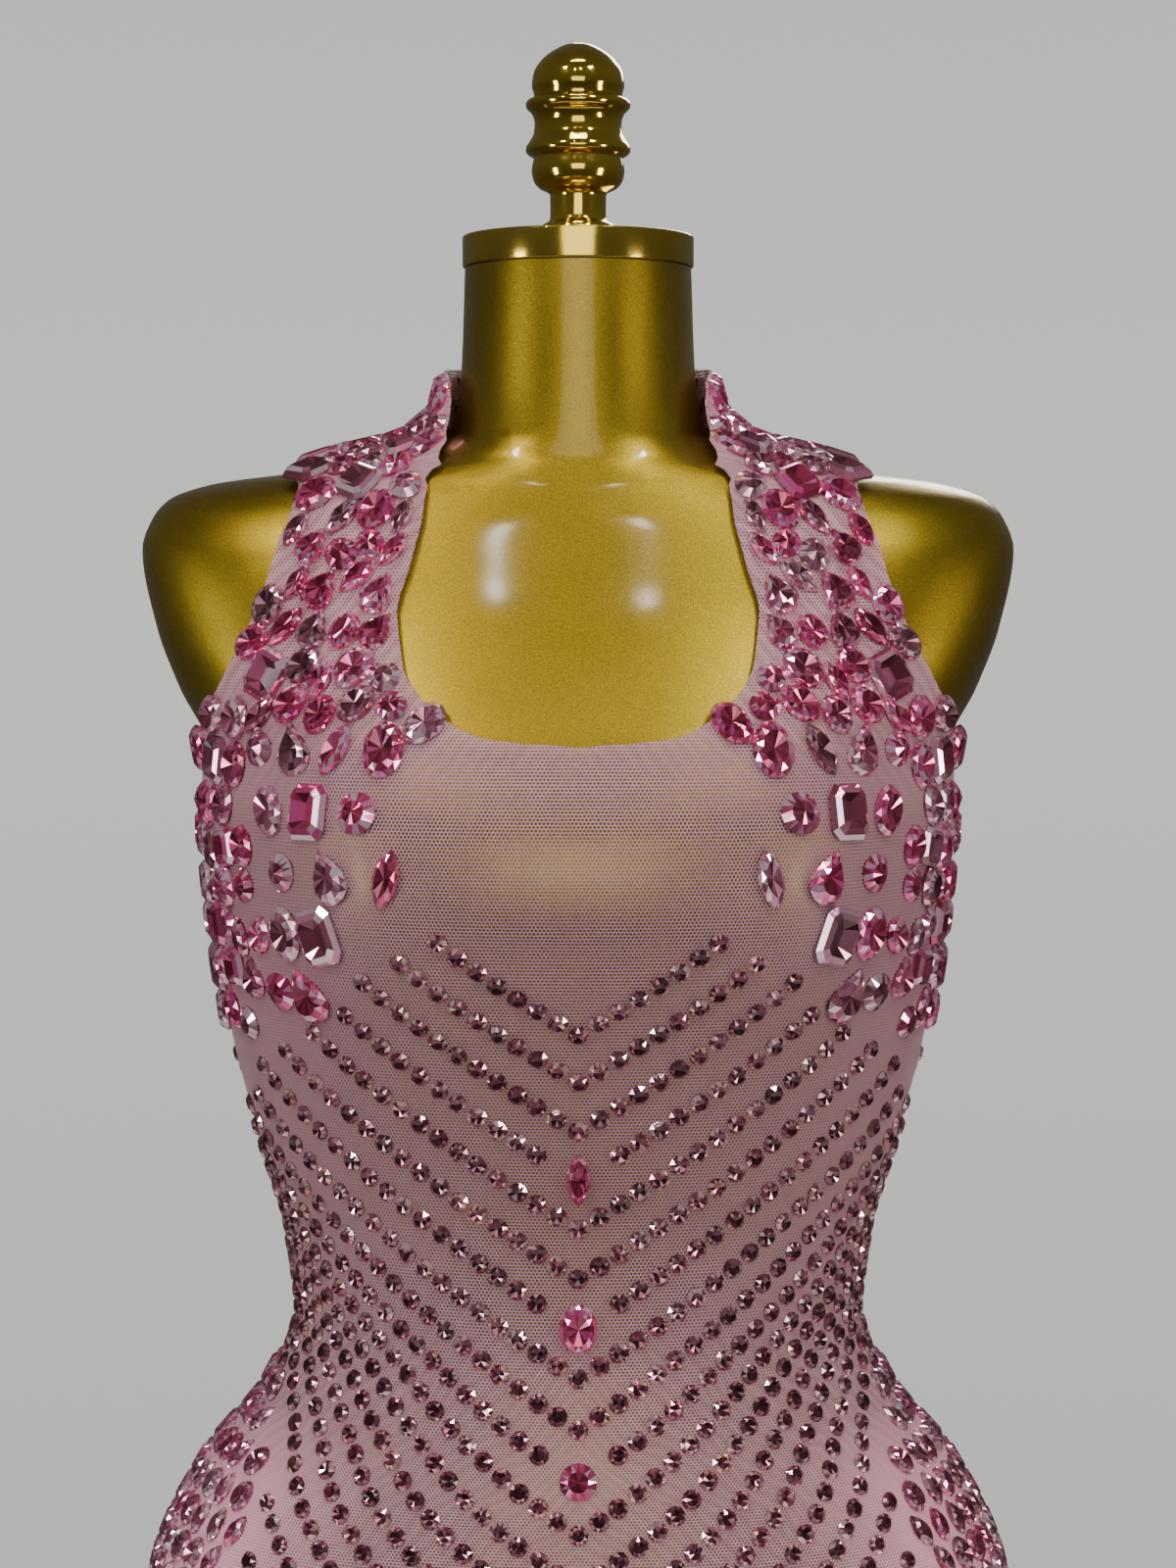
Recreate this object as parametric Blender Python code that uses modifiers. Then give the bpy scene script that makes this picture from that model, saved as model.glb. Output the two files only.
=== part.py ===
import math

import bpy
from mathutils import Vector

# Heights above the floor, in metres
WAIST_HEIGHT = 0.610
PLATE_HEIGHT = 0.015
PLATE_RADIUS = 0.150
PLATE_EDGE = 0.004
POLE_RADIUS = 0.0125
SEAT_GAP = 0.0003

# Cloth
CLOTH_GAP = 0.0005
STRAP_GAP = 0.0017
STRAP_GAP_FROM = 0.185
STRAP_GAP_OVER = 0.035
CLOTH_WALL = 0.0014
SEAM_GAP = 0.0003

# Faces in a quarter of a ring, and in its fine outer wall over the bust
QUARTER_FACES = 10
FINE_FACES = 30
FINE_STRAP = 0.075

# Rings shared by the form and the cloth, heights from the waist
SKIRT_RINGS = (
    -0.420, -0.385, -0.350, -0.315, -0.282, -0.250, -0.222, -0.196,
    -0.172, -0.150, -0.130, -0.112, -0.094, -0.076, -0.058, -0.041,
    -0.025, -0.010, 0.004, 0.018, 0.034, 0.052, 0.072,
)
BUST_RINGS = (0.095, 0.110, 0.125, 0.140, 0.155, 0.170, 0.185, 0.200)
CHEST_RINGS = (
    0.210, 0.218, 0.226, 0.234, 0.243, 0.256, 0.270, 0.286, 0.302, 0.314,
    0.323, 0.330, 0.334, 0.3375, 0.340, 0.3425, 0.346, 0.351, 0.358,
    0.370, 0.385,
)

# Bust fullness of the general figure, bridged straight across the middle
BUST_HALF_SPACING = 0.076
BUST_HEIGHT = 0.178
BUST_FULLNESS = 0.018
BUST_SPREAD = 0.036
BUST_ABOVE = 0.046
BUST_BELOW = 0.036

# Neck cap and finial
CAP_RADIUS = 0.0468
CAP_THICKNESS = 0.0125
CAP_EDGE = 0.0008

GOLD_PAINT = (0.60, 0.42, 0.12)
GOLD_METAL = (0.75, 0.55, 0.20)
ROSE_CLOTH = (0.62, 0.34, 0.40)

# Form sections: height from the waist, half width, front, back, squareness
FORM_SECTIONS = (
    (-0.440, 0.144, 0.097, 0.103, 2.15),
    (-0.400, 0.148, 0.100, 0.106, 2.15),
    (-0.300, 0.160, 0.104, 0.113, 2.15),
    (-0.200, 0.174, 0.106, 0.121, 2.15),
    (-0.140, 0.178, 0.105, 0.119, 2.15),
    (-0.106, 0.172, 0.103, 0.110, 2.15),
    (-0.066, 0.153, 0.097, 0.091, 2.10),
    (-0.034, 0.127, 0.090, 0.077, 2.10),
    (0.000, 0.114, 0.086, 0.070, 2.10),
    (0.034, 0.118, 0.086, 0.071, 2.10),
    (0.074, 0.130, 0.088, 0.077, 2.10),
    (0.114, 0.140, 0.093, 0.085, 2.15),
    (0.154, 0.146, 0.098, 0.091, 2.20),
    (0.194, 0.1495, 0.098, 0.095, 2.25),
    (0.228, 0.150, 0.092, 0.096, 2.30),
    (0.254, 0.162, 0.082, 0.093, 2.35),
    (0.278, 0.171, 0.072, 0.088, 2.40),
    (0.310, 0.177, 0.061, 0.078, 2.30),
    (0.322, 0.173, 0.057, 0.073, 2.15),
    (0.330, 0.166, 0.054, 0.069, 2.00),
    (0.336, 0.149, 0.052, 0.065, 1.85),
    (0.341, 0.112, 0.051, 0.061, 1.80),
    (0.346, 0.076, 0.050, 0.057, 1.90),
    (0.356, 0.0525, 0.049, 0.051, 2.00),
    (0.380, 0.0475, 0.0475, 0.0475, 2.00),
    (0.423, 0.0458, 0.0458, 0.0458, 2.00),
)

# Cloth above the shoulder, where it bridges the corner of the neck
YOKE_SECTIONS = (
    (0.3455, 0.0965, 0.0515, 0.0610, 1.80),
    (0.3480, 0.0850, 0.0516, 0.0605, 1.83),
    (0.3510, 0.0735, 0.0518, 0.0600, 1.85),
    (0.3560, 0.0645, 0.0520, 0.0590, 1.88),
    (0.3600, 0.0598, 0.0520, 0.0580, 1.90),
    (0.3640, 0.0566, 0.0520, 0.0570, 1.92),
    (0.3700, 0.0535, 0.0520, 0.0555, 1.95),
    (0.3820, 0.0513, 0.0513, 0.0535, 2.00),
    (0.4000, 0.0515, 0.0505, 0.0520, 2.00),
)

# Strap edges in degrees round from the centre front, and heights from the waist
STRAP_STATIONS = (
    # neck edge turn, neck edge height, arm edge turn, arm edge height
    (0.0, 0.233, 90.0, 0.226),
    (13.0, 0.236, 70.0, 0.238),
    (20.0, 0.247, 58.0, 0.251),
    (23.0, 0.264, 49.0, 0.267),
    (23.0, 0.283, 43.0, 0.285),
    (21.0, 0.302, 40.0, 0.302),
    (20.0, 0.318, 39.0, 0.317),
    (21.0, 0.331, 40.0, 0.326),
    (27.0, 0.339, 42.0, 0.331),
    (38.0, 0.347, 48.0, 0.335),
    (52.0, 0.355, 62.0, 0.339),
    (65.0, 0.369, 90.0, 0.342),
    (75.0, 0.379, 112.0, 0.344),
    (120.0, 0.384, 143.0, 0.346),
    (180.0, 0.382, 180.0, 0.347),
)

# Rows of large stones on the bust, set out evenly, each row shifted by half a step
BUST_ROW_TOP = 0.2320
BUST_ROW_PITCH = 0.0235
BUST_ROW_COUNT = 5
BUST_FIRST_TURN = 28.0
BUST_LAST_TURN = 84.0
BUST_TURN_STEP = 8.5
BUST_ROW_RETREAT = 8.0
BUST_FULL_ROWS = 3
BUST_STONE_HALF = 0.0115
BUST_CUTS = ("oval", "rivoli", "marquise", "octagon", "pear")
BUST_STONE_SWAY = 0.004
BUST_STONE_TAPER = 0.26
BUST_STONE_TILT = 26.0

# Stones on the straps, in rows across from the neck edge to the arm edge
STRAP_STONE_START = 0.064
STRAP_STONE_END = 0.006
STRAP_STONE_PITCH = 0.0164
STRAP_STONE_ACROSS = 0.0124
STRAP_STONE_HALF = 0.0090
STRAP_STONE_MARGIN = 0.0072
STRAP_STONE_LEAN = 122.0
STRAP_STONE_TILT = 20.0
STRAP_CUTS = (
    "oval", "marquise", "octagon", "pear", "oval",
    "rivoli", "marquise", "octagon", "oval", "heart",
)

# Width of each cut for a length of one
CUT_WIDTHS = {
    "oval": 0.74, "octagon": 0.80, "pear": 0.72, "marquise": 0.46, "rivoli": 1.0, "heart": 0.95,
}
STONE_RISE = 0.0034
STONE_SPREAD = 1.6
STONE_REACH = 0.020
LOWEST_STONE = 0.10

# Back panel top edge: share of the way from side seam to centre back, height
BACK_TOP_EDGE = (
    (0.00, 0.2260),
    (0.12, 0.2235),
    (0.30, 0.2080),
    (0.55, 0.1620),
    (0.80, 0.1260),
    (1.00, 0.1180),
)

# Finial outline: height above the cap, radius
FINIAL_OUTLINE = (
    (0.0770, 0.0008),
    (0.0765, 0.0045),
    (0.0740, 0.0100),
    (0.0700, 0.0150),
    (0.0650, 0.0180),
    (0.0600, 0.0187),
    (0.0570, 0.0180),
    (0.0555, 0.0178),
    (0.0540, 0.0205),
    (0.0525, 0.0212),
    (0.0510, 0.0208),
    (0.0490, 0.0188),
    (0.0450, 0.0176),
    (0.0410, 0.0180),
    (0.0375, 0.0198),
    (0.0355, 0.0210),
    (0.0340, 0.0212),
    (0.0325, 0.0202),
    (0.0310, 0.0180),
    (0.0290, 0.0184),
    (0.0260, 0.0188),
    (0.0220, 0.0180),
    (0.0190, 0.0155),
    (0.0175, 0.0125),
    (0.0165, 0.0114),
    (0.0080, 0.0113),
    (0.0060, 0.0118),
    (0.0045, 0.0142),
    (0.0030, 0.0148),
    (0.0000, 0.0150),
)


def clear_scene():
    for old in list(bpy.data.objects):
        bpy.data.objects.remove(old, do_unlink=True)


def make_collection():
    collection = bpy.data.collections.new("halter_dress_on_form")
    bpy.context.scene.collection.children.link(collection)
    return collection


def make_material(name, colour, metallic, roughness):
    material = bpy.data.materials.new(name)
    material.use_nodes = True
    shader = material.node_tree.nodes["Principled BSDF"]
    shader.inputs["Base Color"].default_value = (*colour, 1.0)
    shader.inputs["Metallic"].default_value = metallic
    shader.inputs["Roughness"].default_value = roughness
    material.diffuse_color = (*colour, 1.0)
    return material


def add_mesh(collection, name, points, faces, material):
    mesh = bpy.data.meshes.new(name)
    mesh.from_pydata([tuple(point) for point in points], [], faces)
    mesh.update()
    mesh.materials.append(material)
    mesh.shade_smooth()
    mesh.set_sharp_from_angle(angle=math.radians(50))
    node = bpy.data.objects.new(name, mesh)
    collection.objects.link(node)
    return node


# A smooth rising or falling curve through table rows, with no overshoot
def slopes_of(places, values):
    count = len(places)
    steps = [places[i + 1] - places[i] for i in range(count - 1)]
    rates = [(values[i + 1] - values[i]) / steps[i] for i in range(count - 1)]
    slopes = [0.0] * count
    slopes[0] = rates[0]
    slopes[-1] = rates[-1]
    for i in range(1, count - 1):
        if rates[i - 1] * rates[i] > 0:
            first = 2 * steps[i] + steps[i - 1]
            second = steps[i] + 2 * steps[i - 1]
            slopes[i] = (first + second) / (first / rates[i - 1] + second / rates[i])
    return slopes


def make_curve(places, values):
    places = list(places)
    values = list(values)
    slopes = slopes_of(places, values)

    def curve(place):
        i = 0
        while i < len(places) - 2 and place > places[i + 1]:
            i += 1
        width = places[i + 1] - places[i]
        t = (place - places[i]) / width
        start = (2 * t**3 - 3 * t**2 + 1) * values[i]
        start += (t**3 - 2 * t**2 + t) * width * slopes[i]
        end = (3 * t**2 - 2 * t**3) * values[i + 1]
        end += (t**3 - t**2) * width * slopes[i + 1]
        return start + end

    return curve


def make_skin(rows):
    heights = [row[0] for row in rows]
    return [make_curve(heights, [row[k] for row in rows]) for k in range(1, 5)]


def bust_swell(x, height):
    beyond = max(abs(x) - BUST_HALF_SPACING, 0.0)
    rise = height - BUST_HEIGHT
    spread = BUST_ABOVE if rise > 0 else BUST_BELOW
    across = (beyond / BUST_SPREAD) ** 2 / 2
    along = (rise / spread) ** 2 / 2
    return BUST_FULLNESS * math.exp(-across - along)


def skin_point(skin, turn, height):
    half_width, front, back, squareness = [curve(height) for curve in skin]
    side = math.sin(turn)
    ahead = math.cos(turn)
    scale = (abs(side) ** squareness + abs(ahead) ** squareness) ** (1 / squareness)
    depth = front if ahead > 0 else back
    x = half_width * side / scale
    y = -depth * ahead / scale
    y -= bust_swell(x, height) * max(ahead, 0.0) / scale
    return Vector((x, y, height))


def skin_normal(skin, turn, height):
    low = skin[0].lowest + 0.0005
    high = skin[0].highest - 0.0005
    middle = min(max(height, low), high)
    around = skin_point(skin, turn + 0.006, middle) - skin_point(skin, turn - 0.006, middle)
    upward = skin_point(skin, turn, middle + 0.0004) - skin_point(skin, turn, middle - 0.0004)
    return around.cross(upward).normalized()


class Skin(list):
    pass


def make_form_skin():
    skin = Skin(make_skin(FORM_SECTIONS))
    skin[0].lowest = FORM_SECTIONS[0][0]
    skin[0].highest = FORM_SECTIONS[-1][0]
    return skin


def make_cloth_skin():
    below = tuple(row for row in FORM_SECTIONS if row[0] < 0.342)
    rows = below + YOKE_SECTIONS
    skin = Skin(make_skin(rows))
    skin[0].lowest = rows[0][0]
    skin[0].highest = rows[-1][0]
    return skin


# Length up the side of the cloth, so rows space evenly over the flat shoulder
def make_climb(skin):
    low = skin[0].lowest
    high = skin[0].highest
    steps = 1700
    heights = [low + (high - low) * k / steps for k in range(steps + 1)]
    climbs = [0.0]
    for k in range(steps):
        across = skin[0](heights[k + 1]) - skin[0](heights[k])
        climbs.append(climbs[-1] + math.hypot(across, heights[k + 1] - heights[k]))

    def climb_of(height):
        place = (height - low) / (high - low) * steps
        k = min(max(int(place), 0), steps - 1)
        return climbs[k] + (climbs[k + 1] - climbs[k]) * (place - k)

    def height_of(climb):
        k = 0
        far = steps
        while far - k > 1:
            middle = (k + far) // 2
            if climbs[middle] <= climb:
                k = middle
            else:
                far = middle
        share = (climb - climbs[k]) / (climbs[k + 1] - climbs[k])
        return heights[k] + (heights[k + 1] - heights[k]) * share

    return climb_of, height_of


FORM_SKIN = make_form_skin()
CLOTH_SKIN = make_cloth_skin()
CLIMB_OF, HEIGHT_OF = make_climb(CLOTH_SKIN)


def lifted(point):
    return Vector((point.x, point.y, point.z + WAIST_HEIGHT))


def cloth_gap(height):
    share = min(max((height - STRAP_GAP_FROM) / STRAP_GAP_OVER, 0.0), 1.0)
    return CLOTH_GAP + (STRAP_GAP - CLOTH_GAP) * share


def cloth_point(turn, height, out):
    return lifted(skin_point(CLOTH_SKIN, turn, height) + skin_normal(CLOTH_SKIN, turn, height) * out)


# Two rows of points joined by faces; each long edge takes several short ones
def strip(first, second):
    faces = []
    long_side = max(len(first), len(second)) - 1
    short_side = min(len(first), len(second)) - 1
    group = long_side // short_side
    for i in range(short_side):
        if len(first) >= len(second):
            near = first[i * group:(i + 1) * group + 1]
            far = second[i:i + 2]
        else:
            near = first[i:i + 2]
            far = second[i * group:(i + 1) * group + 1]
        faces.append(tuple(near) + tuple(reversed(far)))
    return faces


def sew_rows(rows):
    faces = []
    for lower, upper in zip(rows, rows[1:]):
        faces += strip(lower, upper)
    return faces


def flipped(faces):
    return [tuple(reversed(face)) for face in faces]


# Edge strip between an outer column and an inner column with fewer rows
def edge_strip(outer, inner, inner_rows):
    faces = []
    for k in range(len(inner_rows) - 1):
        near = outer[inner_rows[k]:inner_rows[k + 1] + 1]
        faces.append(tuple(near) + (inner[k + 1], inner[k]))
    return faces


def side_turn(height, sign):
    half_width = CLOTH_SKIN[0](height)
    return math.radians(90) + sign * SEAM_GAP / 2 / half_width


# Strap lines between the neck edge and the arm edge, evenly spaced
def make_strap_lines():
    places = [0.0]
    for near, far in zip(STRAP_STATIONS, STRAP_STATIONS[1:]):
        lengths = []
        for side in (0, 2):
            start = skin_point(CLOTH_SKIN, math.radians(near[side]), near[side + 1])
            end = skin_point(CLOTH_SKIN, math.radians(far[side]), far[side + 1])
            lengths.append((end - start).length)
        places.append(places[-1] + sum(lengths) / 2)
    curves = [make_curve(places, [row[k] for row in STRAP_STATIONS]) for k in range(4)]
    return places[-1], curves


STRAP_LENGTH, STRAP_CURVES = make_strap_lines()


def strap_ends(place):
    neck_turn, neck_height, arm_turn, arm_height = [curve(place) for curve in STRAP_CURVES]
    return math.radians(neck_turn), neck_height, math.radians(arm_turn), arm_height


# A place on the strap: along it from the neckline, and across from neck to arm
def strap_place(along, across):
    neck_turn, neck_height, arm_turn, arm_height = strap_ends(along)
    turn = neck_turn + (arm_turn - neck_turn) * across
    climb = CLIMB_OF(neck_height)
    climb += (CLIMB_OF(arm_height) - climb) * across
    return turn, HEIGHT_OF(climb)


# One large stone: its centre, its long and short directions and half sizes
def make_stone(turn, height, lean, half_length, half_width):
    centre = skin_point(CLOTH_SKIN, turn, height)
    normal = skin_normal(CLOTH_SKIN, turn, height)
    around = skin_point(CLOTH_SKIN, turn + 0.01, height) - centre
    around = (around - normal * around.dot(normal)).normalized()
    upward = normal.cross(around)
    long_way = around * math.cos(lean) + upward * math.sin(lean)
    short_way = normal.cross(long_way)
    return centre, long_way, short_way, half_length, half_width


def bust_stones():
    stones = []
    for row in range(BUST_ROW_COUNT):
        height = BUST_ROW_TOP - row * BUST_ROW_PITCH
        first = BUST_FIRST_TURN + (row % 2) * BUST_TURN_STEP / 2
        first += BUST_ROW_RETREAT * max(row - BUST_FULL_ROWS + 1, 0)
        steps = round((BUST_LAST_TURN - first) / BUST_TURN_STEP)
        for k in range(steps + 1):
            cut = BUST_CUTS[(row + 2 * k) % len(BUST_CUTS)]
            share = k / steps
            turn = math.radians(first + (BUST_LAST_TURN - first) * share)
            place = height + BUST_STONE_SWAY * math.sin(row * 2.1 + k * 2.7)
            lean = math.radians(90 + BUST_STONE_TILT * math.sin(row * 1.3 + k * 1.9))
            half_length = BUST_STONE_HALF * (1.0 - BUST_STONE_TAPER * share)
            half_width = half_length * CUT_WIDTHS[cut]
            stones.append(make_stone(turn, place, lean, half_length, half_width))
    return stones


def strap_stones():
    stones = []
    rows = int((STRAP_LENGTH - STRAP_STONE_END - STRAP_STONE_START) / STRAP_STONE_PITCH) + 1
    for row in range(rows):
        along = STRAP_STONE_START + row * STRAP_STONE_PITCH
        neck = skin_point(CLOTH_SKIN, *strap_place(along, 0.0))
        arm = skin_point(CLOTH_SKIN, *strap_place(along, 1.0))
        width = (arm - neck).length
        room = width - 2 * STRAP_STONE_MARGIN
        count = max(int(room / STRAP_STONE_ACROSS) + 1, 2)
        for k in range(count):
            across = (STRAP_STONE_MARGIN + room * k / (count - 1)) / width
            shift = STRAP_STONE_PITCH * math.sin(k * 2.2 + row * 0.9) / 4
            place = min(along + shift, STRAP_LENGTH - STRAP_STONE_END / 2)
            turn, height = strap_place(place, across)
            swing = STRAP_STONE_TILT * math.sin(row * 1.7 + k * 2.1)
            lean = math.radians(STRAP_STONE_LEAN - swing)
            cut = STRAP_CUTS[(3 * row + 4 * k) % len(STRAP_CUTS)]
            if k == count - 1 and count > 2:
                cut = "marquise"
            half_width = STRAP_STONE_HALF * CUT_WIDTHS[cut]
            stones.append(make_stone(turn, height, lean, STRAP_STONE_HALF, half_width))
    return stones


STONES = bust_stones() + strap_stones()


def stone_rise(turn, height):
    if height < LOWEST_STONE:
        return 0.0
    point = skin_point(CLOTH_SKIN, turn, height)
    rise = 0.0
    for centre, long_way, short_way, half_length, half_width in STONES:
        away = point - centre
        if away.length > STONE_REACH:
            continue
        reach = (away.dot(long_way) / half_length) ** 2
        reach += (away.dot(short_way) / half_width) ** 2
        if reach < STONE_SPREAD:
            rise = max(rise, STONE_RISE * (1 - (reach / STONE_SPREAD) ** 2))
    return rise


# The front is cut in one with both straps; half is laid out and mirrored
def front_rows():
    rows = [("ring", height, QUARTER_FACES) for height in SKIRT_RINGS]
    for low, high in zip(BUST_RINGS, BUST_RINGS[1:]):
        rows.append(("ring", low, FINE_FACES))
        rows.append(("ring", (low + high) / 2, FINE_FACES))
    blend_rows = 4
    for k in range(blend_rows):
        rows.append(("blend", k / blend_rows, FINE_FACES))
    strap_rows = 42
    for k in range(strap_rows + 1):
        along = STRAP_LENGTH * k / strap_rows
        rows.append(("strap", along, FINE_FACES if along < FINE_STRAP else QUARTER_FACES))
    return rows


def front_place(row, share):
    kind, value, _ = row
    if kind == "ring":
        return side_turn(value, -1) * share, value
    if kind == "strap":
        turn, height = strap_place(value, share)
        return min(turn, side_turn(height, -1)) if value < 0.02 else turn, height
    top_height = strap_place(0.0, share)[1]
    height = BUST_RINGS[-1] + (top_height - BUST_RINGS[-1]) * value
    return side_turn(height, -1) * share, height


def add_front(collection, material):
    rows = front_rows()
    points = []
    outer = []
    for row in rows:
        line = []
        for k in range(row[2] + 1):
            turn, height = front_place(row, k / row[2])
            line.append(len(points))
            out = cloth_gap(height) + CLOTH_WALL + stone_rise(turn, height)
            points.append(cloth_point(turn, height, out))
        outer.append(line)
    fine_start = len(SKIRT_RINGS)
    inner_rows = list(range(fine_start)) + list(range(fine_start, len(rows), 2))
    if inner_rows[-1] != len(rows) - 1:
        inner_rows.append(len(rows) - 1)
    inner = []
    for i in inner_rows:
        line = []
        count = QUARTER_FACES if rows[i][2] == FINE_FACES or i < fine_start else QUARTER_FACES // 2
        for k in range(count + 1):
            turn, height = front_place(rows[i], k / count)
            line.append(len(points))
            points.append(cloth_point(turn, height, cloth_gap(height)))
        inner.append(line)
    faces = sew_rows(outer) + flipped(sew_rows(inner))
    faces += strip(inner[0], outer[0])
    outer_side = [line[-1] for line in outer]
    inner_side = [line[-1] for line in inner]
    faces += flipped(edge_strip(outer_side, inner_side, inner_rows))
    neck = next(i for i, row in enumerate(rows) if row[0] == "strap")
    neck_rows = [i - neck for i in inner_rows if i >= neck]
    outer_neck = [line[0] for line in outer[neck:]]
    inner_neck = [line[0] for i, line in zip(inner_rows, inner) if i >= neck]
    faces += edge_strip(outer_neck, inner_neck, neck_rows)
    for i, line in enumerate(outer):
        if i <= neck:
            points[line[0]].x = 0.0
    for i, line in zip(inner_rows, inner):
        if i <= neck:
            points[line[0]].x = 0.0
    for index in outer[-1] + inner[-1]:
        points[index].x = 0.0
    node = add_mesh(collection, "dress_front", points, faces, material)
    mirror = node.modifiers.new("mirror", "MIRROR")
    mirror.use_axis[0] = True
    mirror.use_clip = False
    mirror.use_mirror_merge = True
    mirror.merge_threshold = 0.00005
    return node


# The back is low, from the hem to a scooped top edge under the arms
def add_back(collection, material):
    columns = QUARTER_FACES
    rings = SKIRT_RINGS[:-1]
    top_rows = 7
    top_edge = make_curve([row[0] for row in BACK_TOP_EDGE], [row[1] for row in BACK_TOP_EDGE])
    points = []
    walls = []
    for wall in (CLOTH_WALL, 0.0):
        lines = []
        for i in range(len(rings) + top_rows):
            line = []
            for k in range(columns + 1):
                share = k / columns
                if i < len(rings):
                    height = rings[i]
                else:
                    rise = (i - len(rings) + 1) / top_rows
                    height = rings[-1] + (top_edge(share) - rings[-1]) * rise
                start = side_turn(height, 1)
                turn = start + (math.pi - start) * share
                point = cloth_point(turn, height, cloth_gap(height) + wall)
                if k == columns:
                    point.x = 0.0
                line.append(len(points))
                points.append(point)
            lines.append(line)
        walls.append(lines)
    outer, inner = walls
    faces = sew_rows(outer) + flipped(sew_rows(inner))
    faces += strip(inner[0], outer[0])
    faces += flipped(strip(inner[-1], outer[-1]))
    faces += strip([line[0] for line in outer], [line[0] for line in inner])
    node = add_mesh(collection, "dress_back", points, faces, material)
    mirror = node.modifiers.new("mirror", "MIRROR")
    mirror.use_axis[0] = True
    mirror.use_mirror_merge = True
    mirror.merge_threshold = 0.00005
    return node


# The form is one smooth body from its flat foot to the top of the neck
def add_form(collection, material):
    columns = 4 * QUARTER_FACES
    heights = (FORM_SECTIONS[0][0],) + SKIRT_RINGS + BUST_RINGS + CHEST_RINGS
    heights += (FORM_SECTIONS[-1][0],)
    points = []
    lines = []
    for height in heights:
        line = []
        for k in range(columns):
            line.append(len(points))
            points.append(lifted(skin_point(FORM_SKIN, math.tau * k / columns, height)))
        lines.append(line)
    faces = []
    for lower, upper in zip(lines, lines[1:]):
        for k in range(columns):
            n = (k + 1) % columns
            faces.append((lower[k], lower[n], upper[n], upper[k]))
    faces.append(tuple(reversed(lines[0])))
    faces.append(tuple(lines[-1]))
    return add_mesh(collection, "form_torso", points, faces, material)


# A turned piece from an outline down its outer side
def add_turned(collection, name, outline, steps, material):
    points = [(radius, 0.0, height) for radius, height in outline]
    edges = [(k, k + 1) for k in range(len(points) - 1)]
    mesh = bpy.data.meshes.new(name)
    mesh.from_pydata(points, edges, [])
    mesh.materials.append(material)
    node = bpy.data.objects.new(name, mesh)
    collection.objects.link(node)
    screw = node.modifiers.new("turn", "SCREW")
    screw.axis = "Z"
    screw.steps = steps
    screw.render_steps = steps
    screw.use_merge_vertices = True
    screw.merge_threshold = 0.00002
    screw.use_smooth_shade = True
    return node


def rounded_disc(top, bottom, radius, edge):
    outline = [(0.0, top)]
    for k in range(3):
        angle = math.radians(90 - 45 * k)
        outline.append((radius - edge + edge * math.cos(angle), top - edge + edge * math.sin(angle)))
    for k in range(3):
        angle = math.radians(-45 * k)
        outline.append((radius - edge + edge * math.cos(angle), bottom + edge + edge * math.sin(angle)))
    outline.append((0.0, bottom))
    return outline


def add_cap_and_finial(collection, material, metal):
    neck_top = WAIST_HEIGHT + FORM_SECTIONS[-1][0]
    cap_bottom = neck_top + SEAT_GAP
    cap_top = cap_bottom + CAP_THICKNESS
    add_turned(collection, "neck_cap", rounded_disc(cap_top, cap_bottom, CAP_RADIUS, CAP_EDGE), 36, material)
    foot = cap_top + SEAT_GAP
    outline = [(0.0, foot + FINIAL_OUTLINE[0][0])]
    outline += [(radius, foot + rise) for rise, radius in FINIAL_OUTLINE]
    outline.append((0.0, foot))
    add_turned(collection, "finial", outline, 20, metal)


def add_stand(collection, plate_material, pole_material):
    plate = rounded_disc(PLATE_HEIGHT, 0.0, PLATE_RADIUS, PLATE_EDGE)
    add_turned(collection, "stand_base", plate, 40, plate_material)
    foot = WAIST_HEIGHT + FORM_SECTIONS[0][0] - SEAT_GAP
    bottom = PLATE_HEIGHT + SEAT_GAP
    outline = [(0.0, foot), (POLE_RADIUS, foot), (POLE_RADIUS, bottom), (0.0, bottom)]
    add_turned(collection, "stand_pole", outline, 24, pole_material)


clear_scene()
COLLECTION = make_collection()
add_form(COLLECTION, make_material("form_paint", GOLD_PAINT, 0.6, 0.35))
add_cap_and_finial(
    COLLECTION,
    make_material("cap_gold", GOLD_METAL, 1.0, 0.18),
    make_material("finial_gold", GOLD_METAL, 1.0, 0.15),
)
add_stand(
    COLLECTION,
    make_material("plate_gold", GOLD_METAL, 1.0, 0.30),
    make_material("pole_gold", GOLD_METAL, 1.0, 0.25),
)
add_front(COLLECTION, make_material("front_cloth", ROSE_CLOTH, 0.0, 0.60))
add_back(COLLECTION, make_material("back_cloth", ROSE_CLOTH, 0.0, 0.60))
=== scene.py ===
import math
import random

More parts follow.
